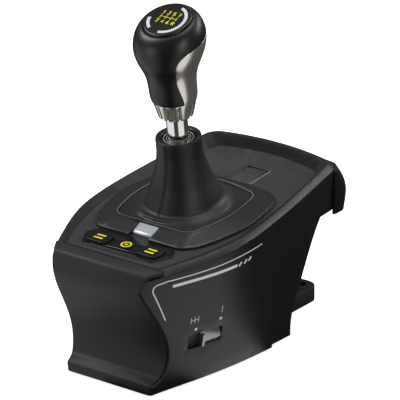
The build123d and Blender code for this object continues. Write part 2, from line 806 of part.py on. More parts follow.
# Inner mechanism, sizes across and along the lever
block_half_x = 12.6
block_half_y = 9
block_half_height = 9
yoke_half_x = 19
yoke_half_y = 22
yoke_half_height = 8
yoke_inner_half_x = 13
yoke_inner_half_y = 14
trunnion_radius = 4
trunnion_end = 29
trunnion_start = 14.6
cross_pin_radius = 3
bush_radius = 6
frame_half_x = 26
frame_half_y = 28
frame_inner_half_x = 21.5
frame_inner_half_y = 24
frame_low = -58
frame_high = 12
window_half_width = 12
window_low = -46
window_high = -12
finger_top_radius = 4
finger_radius = 2.2
finger_step = -42
finger_round = 1.6
finger_end = -66
gate_level = -61
gate_columns = (-13.73, -6.78, 0, 6.78)
gate_column_half_widths = (2.9, 2.7, 2.5, 2.7)
gate_half_length = 13.4
gate_cross_half_width = 2.8
detent_radius = 66.4
detent_top = -64
detent_low = -71
detent_half_x = 19
detent_half_y = 15
cradle_wall_x = 4
cradle_foot = 8
cradle_foot_height = 4
magnet_radius = 3
magnet_height = 2
magnet_x = 8
sensor_half = 11
sensor_gap = 1.2

with BuildPart() as lever_block:
    add(lever_box(block_half_x, block_half_y, -block_half_height, block_half_height))
    fillet(lever_block.edges().filter_by(Axis.X), screw_hole_radius)
    with BuildSketch(lever_side):
        Circle(cross_pin_radius + running_gap)
    extrude(amount=block_half_x, both=True, mode=Mode.SUBTRACT)
with BuildPart() as cross_pin:
    with BuildSketch(lever_side):
        Circle(cross_pin_radius)
    extrude(amount=yoke_half_x, both=True)
with BuildPart() as gate_finger:
    add(lever_rod_form(finger_top_radius, finger_step, -block_half_height))
    add(lever_rod_form(finger_radius, finger_end, finger_step))
    fillet(gate_finger.edges().filter_by(GeomType.CIRCLE).sort_by(Axis.Z)[0], finger_round)

lever_front = Plane(origin=lever_plane(0).origin, x_dir=(1, 0, 0), z_dir=-lever_plane(0).y_dir)


def across_rod(radius, near, far):
    """A round rod along the select axis, between two distances behind the pivot."""
    with BuildPart() as rod:
        with BuildSketch(lever_front.offset(-far)):
            Circle(radius)
        extrude(amount=far - near)
    return rod.part


with BuildPart() as yoke:
    add(lever_box(yoke_half_x, yoke_half_y, -yoke_half_height, yoke_half_height))
    add(lever_box(yoke_inner_half_x, yoke_inner_half_y, -yoke_half_height, yoke_half_height), mode=Mode.SUBTRACT)
    fillet(yoke.edges().filter_by(lever_axis), screw_hole_radius)
    add(cross_pin.part, mode=Mode.SUBTRACT)
    for near, far in ((-trunnion_end, -trunnion_start), (trunnion_start, trunnion_end)):
        add(across_rod(trunnion_radius, near, far), mode=Mode.SUBTRACT)
with BuildPart() as trunnion_pins:
    for near, far in ((-trunnion_end, -trunnion_start), (trunnion_start, trunnion_end)):
        add(across_rod(trunnion_radius, near, far))
with BuildPart() as trunnion_bushes:
    for near, far in ((-frame_half_y, -frame_inner_half_y), (frame_inner_half_y, frame_half_y)):
        add(across_rod(bush_radius, near, far))
    add(across_rod(trunnion_radius + running_gap, -frame_half_y, frame_half_y), mode=Mode.SUBTRACT)
with BuildPart() as gimbal_frame:
    add(lever_box(frame_half_x, frame_half_y, frame_low, frame_high))
    fillet(gimbal_frame.edges().filter_by(lever_axis), screw_hole_radius)
    add(lever_box(frame_inner_half_x, frame_inner_half_y, frame_low, frame_high), mode=Mode.SUBTRACT)
    add(lever_box(frame_half_x, window_half_width, window_low, window_high), mode=Mode.SUBTRACT)
    add(lever_box(window_half_width, frame_half_y, window_low, window_high), mode=Mode.SUBTRACT)
    add(across_rod(bush_radius, -frame_half_y, frame_half_y), mode=Mode.SUBTRACT)
with BuildPart() as gate_plate:
    add(lever_box(frame_half_x, frame_half_y, gate_level, frame_low))
    for column, half_width in zip(gate_columns, gate_column_half_widths):
        add(lever_box(half_width, gate_half_length, gate_level, frame_low, column), mode=Mode.SUBTRACT)
    half_slot = (gate_columns[-1] - gate_columns[0]) / 2
    add(lever_box(half_slot, gate_cross_half_width, gate_level, frame_low, gate_columns[0] + half_slot),
        mode=Mode.SUBTRACT)
with BuildPart() as detent_form:
    add(lever_box(detent_half_x, detent_half_y, detent_low, detent_top))
with BuildPart() as detent_block:
    add(lever_box(detent_half_x, detent_half_y, detent_low, detent_top))
    with Locations(lever_plane(0).location):
        Sphere(detent_radius, mode=Mode.SUBTRACT)
frame_screw_x = 30
frame_screw_inset = 5.5
frame_screw_ys = (cradle_front_y + frame_screw_inset, cradle_rear_y - frame_screw_inset)
with BuildPart() as frame_cradle:
    add(band(-frame_half_x, frame_half_x, cradle_front_y, cradle_rear_y, base_top, pivot_z))
    split(bisect_by=lever_plane(gate_level), keep=Keep.BOTTOM)
    add(lever_box(frame_half_x - cradle_wall_x, frame_inner_half_y, detent_low, gate_level), mode=Mode.SUBTRACT)
    add(band(-frame_half_x - cradle_foot, frame_half_x + cradle_foot, cradle_front_y, cradle_rear_y,
             base_top, base_top + cradle_foot_height))
    with BuildSketch(Plane.XY.offset(base_top)):
        with Locations(*[(x, y) for x in (-frame_screw_x, frame_screw_x) for y in frame_screw_ys]):
            Circle(screw_shank_radius)
    extrude(amount=cradle_foot_height, mode=Mode.SUBTRACT)
    for side in (-1, 1):
        with BuildSketch(Plane(origin=(side * clamp_screw_x, 0, clamp_screw_z), z_dir=(0, 1, 0))):
            Circle(clamp_screw_radius)
        extrude(amount=cradle_rear_y, mode=Mode.SUBTRACT)
    add(detent_form.part, mode=Mode.SUBTRACT)
with BuildPart() as select_magnet:
    add(across_rod(magnet_radius, trunnion_end, trunnion_end + magnet_height))
with BuildPart() as shift_magnet:
    add(lever_box(magnet_height, magnet_height, -block_half_height - magnet_height, -block_half_height, magnet_x))
with BuildPart() as sensor_board:
    add(lever_box(sensor_half, board_thickness / 2, -sensor_half, sensor_half, 0,
                  trunnion_end + magnet_height + sensor_gap + board_thickness / 2))
    for x in (-sensor_half + screw_hole_radius, sensor_half - screw_hole_radius):
        for along in (-sensor_half + screw_hole_radius, sensor_half - screw_hole_radius):
            with BuildSketch(lever_front.offset(-frame_half_y)):
                with Locations((x, along)):
                    Circle(screw_hole_radius)
            extrude(amount=-(trunnion_end + magnet_height + sensor_gap - frame_half_y))

with BuildPart() as lever_rod:
    add(lever_rod_form(rod_radius, block_half_height, rod_top))
with BuildPart() as shaft_sleeve:
    add(lever_rod_form(sleeve_radius, sleeve_low, sleeve_top))
    add(lever_rod_form(rod_radius, sleeve_low, sleeve_top), mode=Mode.SUBTRACT)
with BuildPart() as knob_core:
    add(lever_rod_form(core_radius, sleeve_top, core_top))
    add(lever_rod_form(rod_radius, sleeve_top, rod_top), mode=Mode.SUBTRACT)
with BuildPart() as knob_ring:
    with BuildSketch(lever_plane(ring_low)) as ring_foot:
        Circle(ring_low_radius)
    with BuildSketch(lever_plane(ring_top)) as ring_head:
        Circle(ring_top_radius)
    loft([ring_foot.sketch, ring_head.sketch])
    fillet(knob_ring.edges().filter_by(GeomType.CIRCLE).sort_by(Axis.Z)[0], ring_round)
    for number in range(ring_flute_count):
        turn = full_turn * number / ring_flute_count
        feet = [lever_plane(along).from_local_coords(Vector(*polar_point(radius + ring_flute_out, turn), 0))
                for along, radius in ((ring_low, ring_low_radius), (ring_top, ring_top_radius))]
        with BuildSketch(Plane(origin=feet[0], z_dir=feet[1] - feet[0])):
            Circle(ring_flute_radius)
        extrude(amount=(feet[1] - feet[0]).length - ring_land, mode=Mode.SUBTRACT)
    add(lever_rod_form(sleeve_radius, ring_low, ring_top), mode=Mode.SUBTRACT)


# Boot: a lower cone that follows the yoke at its top, an upper one that follows the lever
boot_joint = 49.7
boot_wall = 1.2
boot_flange_height = 3.2
boot_flange_thickness = 1.6
boot_top_sections = [(49.7, 24.5), (60.7, 20.5), (74.7, 17.2), (85.7, 16.8)]
collar_low = 85.7
collar_radius = 16.8
collar_mouth_radius = 12.5
collar_height = 3
insert_height = 1.4
insert_outer_radius = 12.3


def boot_solid(sections, inset):
    """A loft of round sections across the lever, given as distance and radius."""
    faces = []
    for along, radius in sections:
        with BuildSketch(lever_plane(along)) as face:
            Circle(radius - inset)
        faces.append(face.sketch)
    with BuildPart() as solid:
        loft(faces)
    return solid.part


with BuildPart() as boot_upper:
    add(boot_solid(boot_top_sections, 0))
    add(boot_solid(boot_top_sections, boot_wall), mode=Mode.SUBTRACT)

boot_low_height = boot_flange_height + boot_flange_thickness
boot_centre_y = -8
boot_half_x = 30.5
boot_half_y = 33


def boot_lower_solid(inset):
    with BuildSketch(deck_plane.offset(boot_low_height)) as foot:
        with Locations((0, boot_centre_y)):
            Ellipse(boot_half_x - inset, boot_half_y - inset)
    with BuildSketch(lever_plane(boot_joint)) as head:
        Circle(boot_top_sections[0][1] - inset)
    with BuildPart() as solid:
        loft([foot.sketch, head.sketch])
    return solid.part


with BuildPart() as boot_lower:
    add(crest_outline(boot_flange_height, crest_wall + seam_gap))
    extrude(amount=boot_flange_thickness, dir=deck_plane.z_dir)
    add(boot_lower_solid(0))
    split(bisect_by=lever_plane(boot_joint - seam_gap), keep=Keep.BOTTOM)
    add(boot_lower_solid(boot_wall), mode=Mode.SUBTRACT)
    with BuildSketch(deck_plane.offset(boot_flange_height)):
        with Locations((0, boot_centre_y)):
            Ellipse(boot_half_x - boot_wall, boot_half_y - boot_wall)
    extrude(amount=boot_flange_thickness, mode=Mode.SUBTRACT)
with BuildPart() as boot_collar:
    with BuildSketch(lever_plane(collar_low + seam_gap)):
        Circle(collar_radius)
        Circle(collar_mouth_radius, mode=Mode.SUBTRACT)
    extrude(amount=collar_height)
    fillet(boot_collar.faces().sort_by_distance(lever_plane(ring_low).origin)[0].edges(), boot_wall)
with BuildPart() as collar_insert:
    with BuildSketch(lever_plane(collar_low + seam_gap)):
        Circle(insert_outer_radius)
        Circle(sleeve_radius, mode=Mode.SUBTRACT)
    extrude(amount=insert_height)


# Base, feet, plates and boards
base_front_y = -100
base_inset = 3.2
pad_radius = 7.5
pad_sites = [(-25, -92), (25, -92), (-42, 14), (42, 14)]
mount_spacing_x = 50
mount_spacing_y = 48
mount_middle_y = -57
mount_hole_radius = 3.1
nut_radius = 5.5
nut_height = 6
grid_count = (2, 2)
nut_sides = 6

with BuildPart() as base_plate:
    with BuildSketch(Plane.XY.offset(pad_height)):
        with BuildLine():
            side = [(foot_half_width * w - base_inset, front_y + (rear_y - front_y) * way)
                    for w, way in foot_side_shares[2:5]]
            front = (foot_half_width * foot_side_shares[0][0] - base_inset, base_front_y)
            rear = (side[-1][0], base_rear_y)
            Spline(front, *side, rear)
            Polyline(rear, (-rear[0], rear[1]))
            Spline((-rear[0], rear[1]), *[(-x, y) for x, y in reversed(side)], (-front[0], front[1]))
            Line((-front[0], front[1]), front)
        make_face()
        with Locations((0, mount_middle_y)):
            with GridLocations(mount_spacing_x, mount_spacing_y, *grid_count):
                Circle(mount_hole_radius, mode=Mode.SUBTRACT)
        with Locations(*[(x, y) for x in (-frame_screw_x, frame_screw_x) for y in frame_screw_ys]):
            Circle(screw_shank_radius, mode=Mode.SUBTRACT)
    extrude(amount=base_thickness)
    for side in (-1, 1):
        for x, y in (front_screw_at, rear_screw_at):
            with BuildSketch(Plane.XY.offset(pad_height)):
                with Locations((side * x, y)):
                    Circle(screw_shank_radius + running_gap)
            extrude(amount=base_thickness, mode=Mode.SUBTRACT)
            with BuildSketch(Plane.XY.offset(pad_height)):
                with Locations((side * x, y)):
                    Circle(screw_head_radius + running_gap)
            extrude(amount=screw_head_height, mode=Mode.SUBTRACT)

with BuildPart() as foot_pads:
    with BuildSketch(Plane.XY):
        with Locations(*pad_sites):
            Circle(pad_radius)
    extrude(amount=pad_height)
with BuildPart() as base_nuts:
    with BuildSketch(Plane.XY.offset(base_top)):
        with Locations((0, mount_middle_y)):
            with GridLocations(mount_spacing_x, mount_spacing_y, *grid_count):
                RegularPolygon(nut_radius, nut_sides)
                Circle(mount_hole_radius, mode=Mode.SUBTRACT)
    extrude(amount=nut_height)
with BuildPart() as base_screws:
    for side in (-1, 1):
        for x, y in (front_screw_at, rear_screw_at):
            with BuildSketch(Plane.XY.offset(pad_height)):
                with Locations((side * x, y)):
                    Circle(screw_head_radius)
            extrude(amount=screw_head_height)
            with BuildSketch(Plane.XY.offset(pad_height)):
                with Locations((side * x, y)):
                    Circle(screw_shank_radius)
            extrude(amount=screw_length)

with BuildPart() as clamp_plate:
    with BuildSketch(Plane.XY.offset(clamp_low_z)) as clamp_face:
        with BuildLine():
            Polyline((-clamp_half_width, clamp_front_y), (clamp_half_width, clamp_front_y),
                     (clamp_half_width, clamp_rear_y), (-clamp_half_width, clamp_rear_y), close=True)
        make_face()
        fillet(clamp_face.vertices().sort_by(Axis.Y)[-2:], clamp_corner_round)
    extrude(amount=clamp_high_z - clamp_low_z)
    with BuildSketch(Plane.XY.offset(clamp_high_z)):
        add(clamp_face.sketch.moved(Location((0, 0, 0))))
        offset(amount=-clamp_border, mode=Mode.REPLACE)
        with Locations((-clamp_hole_x, clamp_hole_y), (clamp_hole_x, clamp_hole_y)):
            Circle(clamp_hole_radius + clamp_border, mode=Mode.SUBTRACT)
    extrude(amount=-clamp_recess, mode=Mode.SUBTRACT)
    with BuildSketch(Plane.XY.offset(clamp_low_z)):
        with Locations((-clamp_hole_x, clamp_hole_y), (clamp_hole_x, clamp_hole_y)):
            Circle(clamp_hole_radius)
    extrude(amount=clamp_high_z, mode=Mode.SUBTRACT)
    add(band(-tongue_half_width, tongue_half_width, tongue_front_y, clamp_front_y + cut, tongue_low_z,
             tongue_high_z))
    for side in (-1, 1):
        with BuildSketch(Plane(origin=(side * clamp_screw_x, 0, clamp_screw_z), z_dir=(0, 1, 0))):
            Circle(clamp_screw_radius)
        extrude(amount=clamp_screw_head_y + clamp_screw_head_height + clamp_screw_length, mode=Mode.SUBTRACT)

with BuildPart() as desk_pad:
    add(band(-desk_pad_half_width, desk_pad_half_width, desk_pad_front_y, skirt_seam_y - cut,
             overhang_height - pad_height, overhang_height))

socket_block = band(socket_x - socket_half_width, socket_x + socket_half_width, socket_front_y, socket_rear_y,
                    socket_z - socket_half_height, socket_z + socket_half_height)
with BuildPart() as usb_socket:
    add(socket_block)
    add(band(socket_x - socket_mouth_half_width, socket_x + socket_mouth_half_width,
             socket_rear_y - socket_mouth_depth, socket_rear_y, socket_z - socket_mouth_half_height,
             socket_z + socket_mouth_half_height), mode=Mode.SUBTRACT)
with BuildPart() as clamp_screws:
    for side in (-1, 1):
        head = Plane(origin=(side * clamp_screw_x, clamp_screw_head_y, clamp_screw_z), z_dir=(0, 1, 0))
        with BuildSketch(head):
            Circle(clamp_screw_head_radius)
        extrude(amount=clamp_screw_head_height)
        with BuildSketch(head):
            Circle(clamp_screw_radius)
        extrude(amount=clamp_screw_head_height + clamp_screw_length)
with BuildPart() as frame_screws:
    for x in (-frame_screw_x, frame_screw_x):
        for y in frame_screw_ys:
            with BuildSketch(Plane.XY.offset(base_top + cradle_foot_height)):
                with Locations((x, y)):
                    Circle(screw_head_radius)
            extrude(amount=screw_head_height)
            with BuildSketch(Plane.XY.offset(pad_height)):
                with Locations((x, y)):
                    Circle(screw_shank_radius)
            extrude(amount=base_thickness + cradle_foot_height)

# Main board on its standoffs
board_half_x = 26
board_front_y = -74
board_rear_y = -42
board_z = 14
standoff_x = 21
standoff_ys = (-68, -48)
standoff_radius = 2.5
chip_half = 6
chip_height = 1.6
chip_y = -58
with BuildPart() as main_board:
    add(band(-board_half_x, board_half_x, board_front_y, board_rear_y, board_z, board_z + board_thickness))
    add(band(-chip_half, chip_half, chip_y - chip_half, chip_y + chip_half, board_z + board_thickness,
             board_z + board_thickness + chip_height))
    for x in (-standoff_x, standoff_x):
        for y in standoff_ys:
            with BuildSketch(Plane.XY.offset(base_top)):
                with Locations((x, y)):
                    Circle(standoff_radius)
            extrude(amount=board_z - base_top)

# Mode slider and the carriage behind the wall
slider_front_x = -4
slider_rear_x = 15
slider_profile = [(-5.5, -3.8), (-5.5, -0.9), (-1.5, 0.3), (5.5, -1.9), (5.5, -3.8)]
fin_thickness = 2.2
fin_low = -5.6
fin_high = 4
fin_out = 1.9
carriage_half_height = 8
carriage_front_x = -14
carriage_rear_x = 22
carriage_thickness = 1.6
slider_root = slider_profile[0][1]
with BuildPart() as mode_slider:
    profile_plane = Plane(origin=slot_plane.from_local_coords(Vector(slider_front_x, 0, 0)),
                          x_dir=slot_plane.y_dir, z_dir=slot_plane.x_dir)
    with BuildSketch(profile_plane):
        with BuildLine():
            Polyline(*slider_profile, close=True)
        make_face()
    extrude(amount=slider_rear_x - slider_front_x)
    add(slot_box(slider_front_x, slider_front_x + fin_thickness, fin_low, fin_high, slider_root, fin_out))
with BuildPart() as mode_carriage:
    add(slot_box(carriage_front_x, carriage_rear_x, -carriage_half_height, carriage_half_height,
                 slider_root - carriage_thickness, slider_root))

pieces = {
    "front_panel": front_panel,
    "left_side_panel": left_side_panel,
    "right_side_panel": right_side_panel,
    "rear_panel": rear_panel,
    "top_cover": top_cover,
    "rear_skirt": rear_skirt,
    "bezel": bezel,
    "bezel_latch": bezel_latch,
    "button_panel": button_panel,
    "left_button": left_button,
    "right_button": right_button,
    "status_lens": status_lens,
    "button_board": button_board,
    "button_switches": button_switches,
    "hatch_well": hatch_well,
    "hatch_pin": hatch_pin,
    "rear_hatch": rear_hatch,
    "tension_screw": tension_screw,
    "knob_trim": knob_trim,
    "knob_neck": knob_neck,
    "knob_grip": knob_grip,
    "knob_cap": knob_cap,
    "knob_arcs": knob_arcs,
    "knob_core": knob_core,
    "knob_ring": knob_ring,
    "lever_block": lever_block,
    "cross_pin": cross_pin,
    "gate_finger": gate_finger,
    "yoke": yoke,
    "trunnion_pins": trunnion_pins,
    "trunnion_bushes": trunnion_bushes,
    "gimbal_frame": gimbal_frame,
    "gate_plate": gate_plate,
    "detent_block": detent_block,
    "frame_cradle": frame_cradle,
    "select_magnet": select_magnet,
    "shift_magnet": shift_magnet,
    "sensor_board": sensor_board,
    "lever_rod": lever_rod,
    "shaft_sleeve": shaft_sleeve,
    "boot_upper": boot_upper,
    "boot_lower": boot_lower,
    "boot_collar": boot_collar,
    "collar_insert": collar_insert,
    "base_plate": base_plate,
    "foot_pads": foot_pads,
    "base_nuts": base_nuts,
    "base_screws": base_screws,
    "clamp_plate": clamp_plate,
    "desk_pad": desk_pad,
    "usb_socket": usb_socket,
    "clamp_screws": clamp_screws,
    "frame_screws": frame_screws,
    "main_board": main_board,
    "mode_slider": mode_slider,
    "mode_carriage": mode_carriage,
}
for name, piece in pieces.items():
    piece.part.label = name
    export_step(piece.part, f"parts/{name}.step")
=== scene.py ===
import json
import math

import bmesh
import bpy
from mathutils import Matrix, Vector
from mathutils.bvhtree import BVHTree


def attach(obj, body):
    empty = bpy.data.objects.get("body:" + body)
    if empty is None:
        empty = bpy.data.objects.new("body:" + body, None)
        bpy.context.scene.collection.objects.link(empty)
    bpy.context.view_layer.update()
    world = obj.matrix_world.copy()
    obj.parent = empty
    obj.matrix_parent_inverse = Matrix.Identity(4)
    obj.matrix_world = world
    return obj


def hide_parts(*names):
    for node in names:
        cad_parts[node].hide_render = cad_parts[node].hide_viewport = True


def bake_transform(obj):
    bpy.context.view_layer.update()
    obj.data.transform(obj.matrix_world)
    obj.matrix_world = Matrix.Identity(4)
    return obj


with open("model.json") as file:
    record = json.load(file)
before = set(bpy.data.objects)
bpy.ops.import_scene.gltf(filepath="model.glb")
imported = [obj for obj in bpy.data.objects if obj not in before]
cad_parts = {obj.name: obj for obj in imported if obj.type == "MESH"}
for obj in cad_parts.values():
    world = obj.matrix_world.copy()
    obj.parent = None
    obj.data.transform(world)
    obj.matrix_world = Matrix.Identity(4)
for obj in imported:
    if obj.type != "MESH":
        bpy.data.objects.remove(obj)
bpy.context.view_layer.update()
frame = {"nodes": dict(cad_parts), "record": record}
nodes = frame["nodes"]
mm = 0.001
print("stage: frame loaded")


# Tilted frames of the deck, of the lever and of the cap on it: places in millimetres, tilts in degrees
def tiltedFrame(y, z, tilt):
    return Matrix.Translation((0, y * mm, z * mm)) @ Matrix.Rotation(math.radians(tilt), 4, "X")


deckFrame = tiltedFrame(y=0, z=108.2, tilt=4.7)
leverFrame = tiltedFrame(y=-6.4, z=80, tilt=8)
capFrame = leverFrame @ tiltedFrame(y=0.6, z=181.5, tilt=15)


def onFrame(place, x, y, z):
    return place @ Vector((x * mm, y * mm, z * mm))


def onDeck(x, y, z):
    return onFrame(deckFrame, x, y, z)


def onLever(x, y, z):
    return onFrame(leverFrame, x, y, z)


def onCap(x, y, z):
    return onFrame(capFrame, x, y, z)


# A shader node, its inputs given by name or number as a value or as the socket that feeds them
def addNode(tree, kind, inputs=None, **settings):
    node = tree.nodes.new("ShaderNode" + kind)
    for setting, value in settings.items():
        setattr(node, setting, value)
    for socket, value in (inputs or {}).items():
        if isinstance(value, bpy.types.NodeSocket):
            tree.links.new(value, node.inputs[socket])
        else:
            node.inputs[socket].default_value = value
    return node


def mathNode(tree, operation, *values):
    return addNode(tree, "Math", dict(enumerate(values)), operation=operation).outputs[0]


def dotProduct(tree, first, second):
    node = addNode(tree, "VectorMath", {0: first, 1: second}, operation="DOT_PRODUCT")
    return node.outputs["Value"]


def partsOf(tree, vector):
    return addNode(tree, "SeparateXYZ", {0: vector}).outputs


def shaderMix(tree, factor, first, second):
    return addNode(tree, "MixShader", {0: factor, 1: first, 2: second}).outputs[0]


# Shader groups: each puts out a mask or a normal, and every material gives it values of its own
def newGroup(name, inputs, outputs):
    group = bpy.data.node_groups.new(name, "ShaderNodeTree")
    for title, default in inputs.items():
        socket = group.interface.new_socket(name=title, in_out="INPUT", socket_type="NodeSocketFloat")
        socket.default_value = default
    for title, kind in outputs.items():
        group.interface.new_socket(name=title, in_out="OUTPUT", socket_type="NodeSocket" + kind)
    given = group.nodes.new("NodeGroupInput").outputs
    result = group.nodes.new("NodeGroupOutput").inputs
    return group, given, result


grain = {"scale": 900, "strength": 0.2, "depth": 0.1 * mm, "detail": 3}


def grainGroup():
    group, given, result = newGroup(
        "Surface grain", {"Scale": grain["scale"], "Strength": grain["strength"],
                          "Distance": grain["depth"]}, {"Normal": "Vector"})
    place = addNode(group, "TexCoord").outputs["Object"]
    noise = addNode(group, "TexNoise", {"Vector": place, "Scale": given["Scale"],
                                        "Detail": grain["detail"]})
    bump = addNode(group, "Bump", {"Height": noise.outputs["Fac"], "Strength": given["Strength"],
                                   "Distance": given["Distance"]})
    group.links.new(bump.outputs["Normal"], result["Normal"])
    return group


leather = {"scale": 700, "strength": 0.4, "foldScale": 60, "depth": 0.3 * mm}


def leatherGroup():
    group, given, result = newGroup(
        "Leather grain", {"Scale": leather["scale"], "Strength": leather["strength"]},
        {"Normal": "Vector"})
    place = addNode(group, "TexCoord").outputs["Object"]
    cells = addNode(group, "TexVoronoi", {"Vector": place, "Scale": given["Scale"]})
    folds = addNode(group, "TexNoise", {"Vector": place, "Scale": leather["foldScale"]})
    height = mathNode(group, "ADD", cells.outputs["Distance"], folds.outputs["Fac"])
    bump = addNode(group, "Bump", {"Height": height, "Strength": given["Strength"],
                                   "Distance": leather["depth"]})
    group.links.new(bump.outputs["Normal"], result["Normal"])
    return group


# Raised dots on the floor of the deck only: near its level, and where the surface looks up
deckDots = {"pitch": 1.6 * mm, "strength": 0.6, "depth": 0.4 * mm, "levelGap": 0.3 * mm,
            "leastUpward": 0.9, "grainScale": 2400, "grainShare": 0.12}


def floorDotsGroup():
    group, given, result = newGroup(
        "Dotted deck floor", {"Pitch": deckDots["pitch"], "Strength": deckDots["strength"]},
        {"Normal": "Vector", "Mask": "Float"})
    place = addNode(group, "TexCoord").outputs["Object"]
    toDeck = addNode(group, "Mapping", {"Vector": place, "Location": deckFrame.translation,
                                        "Rotation": deckFrame.to_euler()}, vector_type="TEXTURE")
    along = partsOf(group, toDeck.outputs["Vector"])
    waves = []
    for operation in ("ADD", "SUBTRACT"):
        way = mathNode(group, operation, along["X"], along["Y"])
        turn = mathNode(group, "MULTIPLY", mathNode(group, "DIVIDE", way, given["Pitch"]), math.pi)
        waves.append(mathNode(group, "ABSOLUTE", mathNode(group, "SINE", turn)))
    dots = mathNode(group, "MULTIPLY", *waves)
    level = mathNode(group, "ABSOLUTE", along["Z"])
    upward = partsOf(group, addNode(group, "NewGeometry").outputs["True Normal"])["Z"]
    onFloor = mathNode(group, "MULTIPLY", mathNode(group, "LESS_THAN", level, deckDots["levelGap"]),
                       mathNode(group, "GREATER_THAN", upward, deckDots["leastUpward"]))
    mask = mathNode(group, "MULTIPLY", dots, onFloor)
    noise = addNode(group, "TexNoise", {"Vector": place, "Scale": deckDots["grainScale"]})
    fineGrain = mathNode(group, "MULTIPLY", noise.outputs["Fac"], deckDots["grainShare"])
    bump = addNode(group, "Bump", {"Height": mathNode(group, "ADD", mask, fineGrain),
                                   "Strength": given["Strength"], "Distance": deckDots["depth"]})
    group.links.new(bump.outputs["Normal"], result["Normal"])
    group.links.new(mask, result["Mask"])
    return group


frontWall = {"toDriver": (0, -1, 0), "least": 0.3, "most": 0.7}


def frontWallGroup():
    group, given, result = newGroup(
        "Wall facing the driver", {"Least": frontWall["least"], "Most": frontWall["most"]},
        {"Mask": "Float"})
    shape = addNode(group, "NewGeometry").outputs["Normal"]
    ramp = addNode(group, "MapRange", {"Value": dotProduct(group, shape, frontWall["toDriver"]),
                                       "From Min": given["Least"], "From Max": given["Most"]})
    group.links.new(ramp.outputs["Result"], result["Mask"])
    return group


# Edge wear and painted highlight: edges are mixed towards a worn colour, which stands both for wear and
# for light catching the edges
edgeWearAndHighlight = {"radius": 0.8 * mm, "amount": 0.5, "samples": 4, "gain": 4}


def wearAndHighlightGroup():
    group, given, result = newGroup(
        "Edge wear and painted highlight", {"Radius": edgeWearAndHighlight["radius"], "Amount": edgeWearAndHighlight["amount"]}, {"Mask": "Float"})
    softened = addNode(group, "Bevel", {"Radius": given["Radius"]}, samples=edgeWearAndHighlight["samples"])
    shape = addNode(group, "NewGeometry")
    same = dotProduct(group, softened.outputs["Normal"], shape.outputs["Normal"])
    away = mathNode(group, "MULTIPLY", mathNode(group, "SUBTRACT", 1, same), edgeWearAndHighlight["gain"])
    wornAndLit = mathNode(group, "MULTIPLY", mathNode(group, "MINIMUM", away, 1), given["Amount"])
    group.links.new(wornAndLit, result["Mask"])
    return group


dust = {"amount": 0.05, "scale": 55, "detail": 6, "colour": (0.35, 0.34, 0.32)}


def dustGroup():
    group, given, result = newGroup("Dust", {"Amount": dust["amount"]}, {"Mask": "Float"})
    shape = addNode(group, "NewGeometry").outputs["Normal"]
    upward = mathNode(group, "MAXIMUM", partsOf(group, shape)["Z"], 0)
    place = addNode(group, "TexCoord").outputs["Object"]
    noise = addNode(group, "TexNoise", {"Vector": place, "Scale": dust["scale"],
                                        "Detail": dust["detail"]})
    patchy = mathNode(group, "MULTIPLY", upward, noise.outputs["Fac"])
    group.links.new(mathNode(group, "MULTIPLY", patchy, given["Amount"]), result["Mask"])
    return group


groups = {"grain": grainGroup(), "leather": leatherGroup(), "dots": floorDotsGroup(),
          "wear": wearAndHighlightGroup(), "dust": dustGroup(), "frontWall": frontWallGroup()}
print("stage: shader groups")


# The Mix node repeats the names of its sockets, so its colour sockets are taken by number
mixSockets = {"factor": 0, "first": 6, "second": 7, "result": 2}


def colourMix(tree, factor, first, second):
    mix = addNode(tree, "Mix", {mixSockets["factor"]: factor, mixSockets["first"]: first,
                                mixSockets["second"]: second}, data_type="RGBA")
    return mix.outputs[mixSockets["result"]]


def groupNode(tree, title, inputs=None):
    return addNode(tree, "Group", inputs, node_tree=groups[title])


# One finish: surface is the group that gives its relief, relief the values of that group's inputs,
# wallRoughness the roughness of walls that face the driver, and wearingAndHighlight and dusty are
# amounts;
# the first mixes the edges towards a colour that stands for wear and for a painted edge highlight
def finish(name, colour, roughness, metallic=0.0, specular=0.5, surface="grain", relief=None,
           reliefColour=None, wallRoughness=None, wearingAndHighlight=0.0, wornAndLitColour=(0.2, 0.2, 0.2), dusty=0.0,
           sheen=0.0, emission=0.0):
    material = bpy.data.materials.new(name)
    material.use_nodes = True
    tree = material.node_tree
    shader = tree.nodes["Principled BSDF"].inputs
    shader["Base Color"].default_value = (*colour, 1)
    shader["Roughness"].default_value = roughness
    shader["Metallic"].default_value = metallic
    shader["Specular IOR Level"].default_value = specular
    shader["Sheen Weight"].default_value = sheen
    if emission:
        shader["Emission Color"].default_value = (*colour, 1)
        shader["Emission Strength"].default_value = emission
    reliefNode = groupNode(tree, surface, relief)
    tree.links.new(reliefNode.outputs["Normal"], shader["Normal"])
    if wallRoughness:
        level = addNode(tree, "MapRange", {"Value": groupNode(tree, "frontWall").outputs["Mask"],
                                           "To Min": roughness, "To Max": wallRoughness})
        tree.links.new(level.outputs["Result"], shader["Roughness"])
    base = (*colour, 1)
    if reliefColour:
        base = colourMix(tree, reliefNode.outputs["Mask"], base, (*reliefColour, 1))
    # The wear group paints edges as wear and as a painted highlight; the dust group lies on upward faces
    for title, amount, layerColour in (("wear", wearingAndHighlight, wornAndLitColour), ("dust", dusty, dust["colour"])):
        if amount:
            mask = groupNode(tree, title, {"Amount": amount}).outputs["Mask"]
            base = colourMix(tree, mask, base, (*layerColour, 1))
    if isinstance(base, bpy.types.NodeSocket):
        tree.links.new(base, shader["Base Color"])
    return material


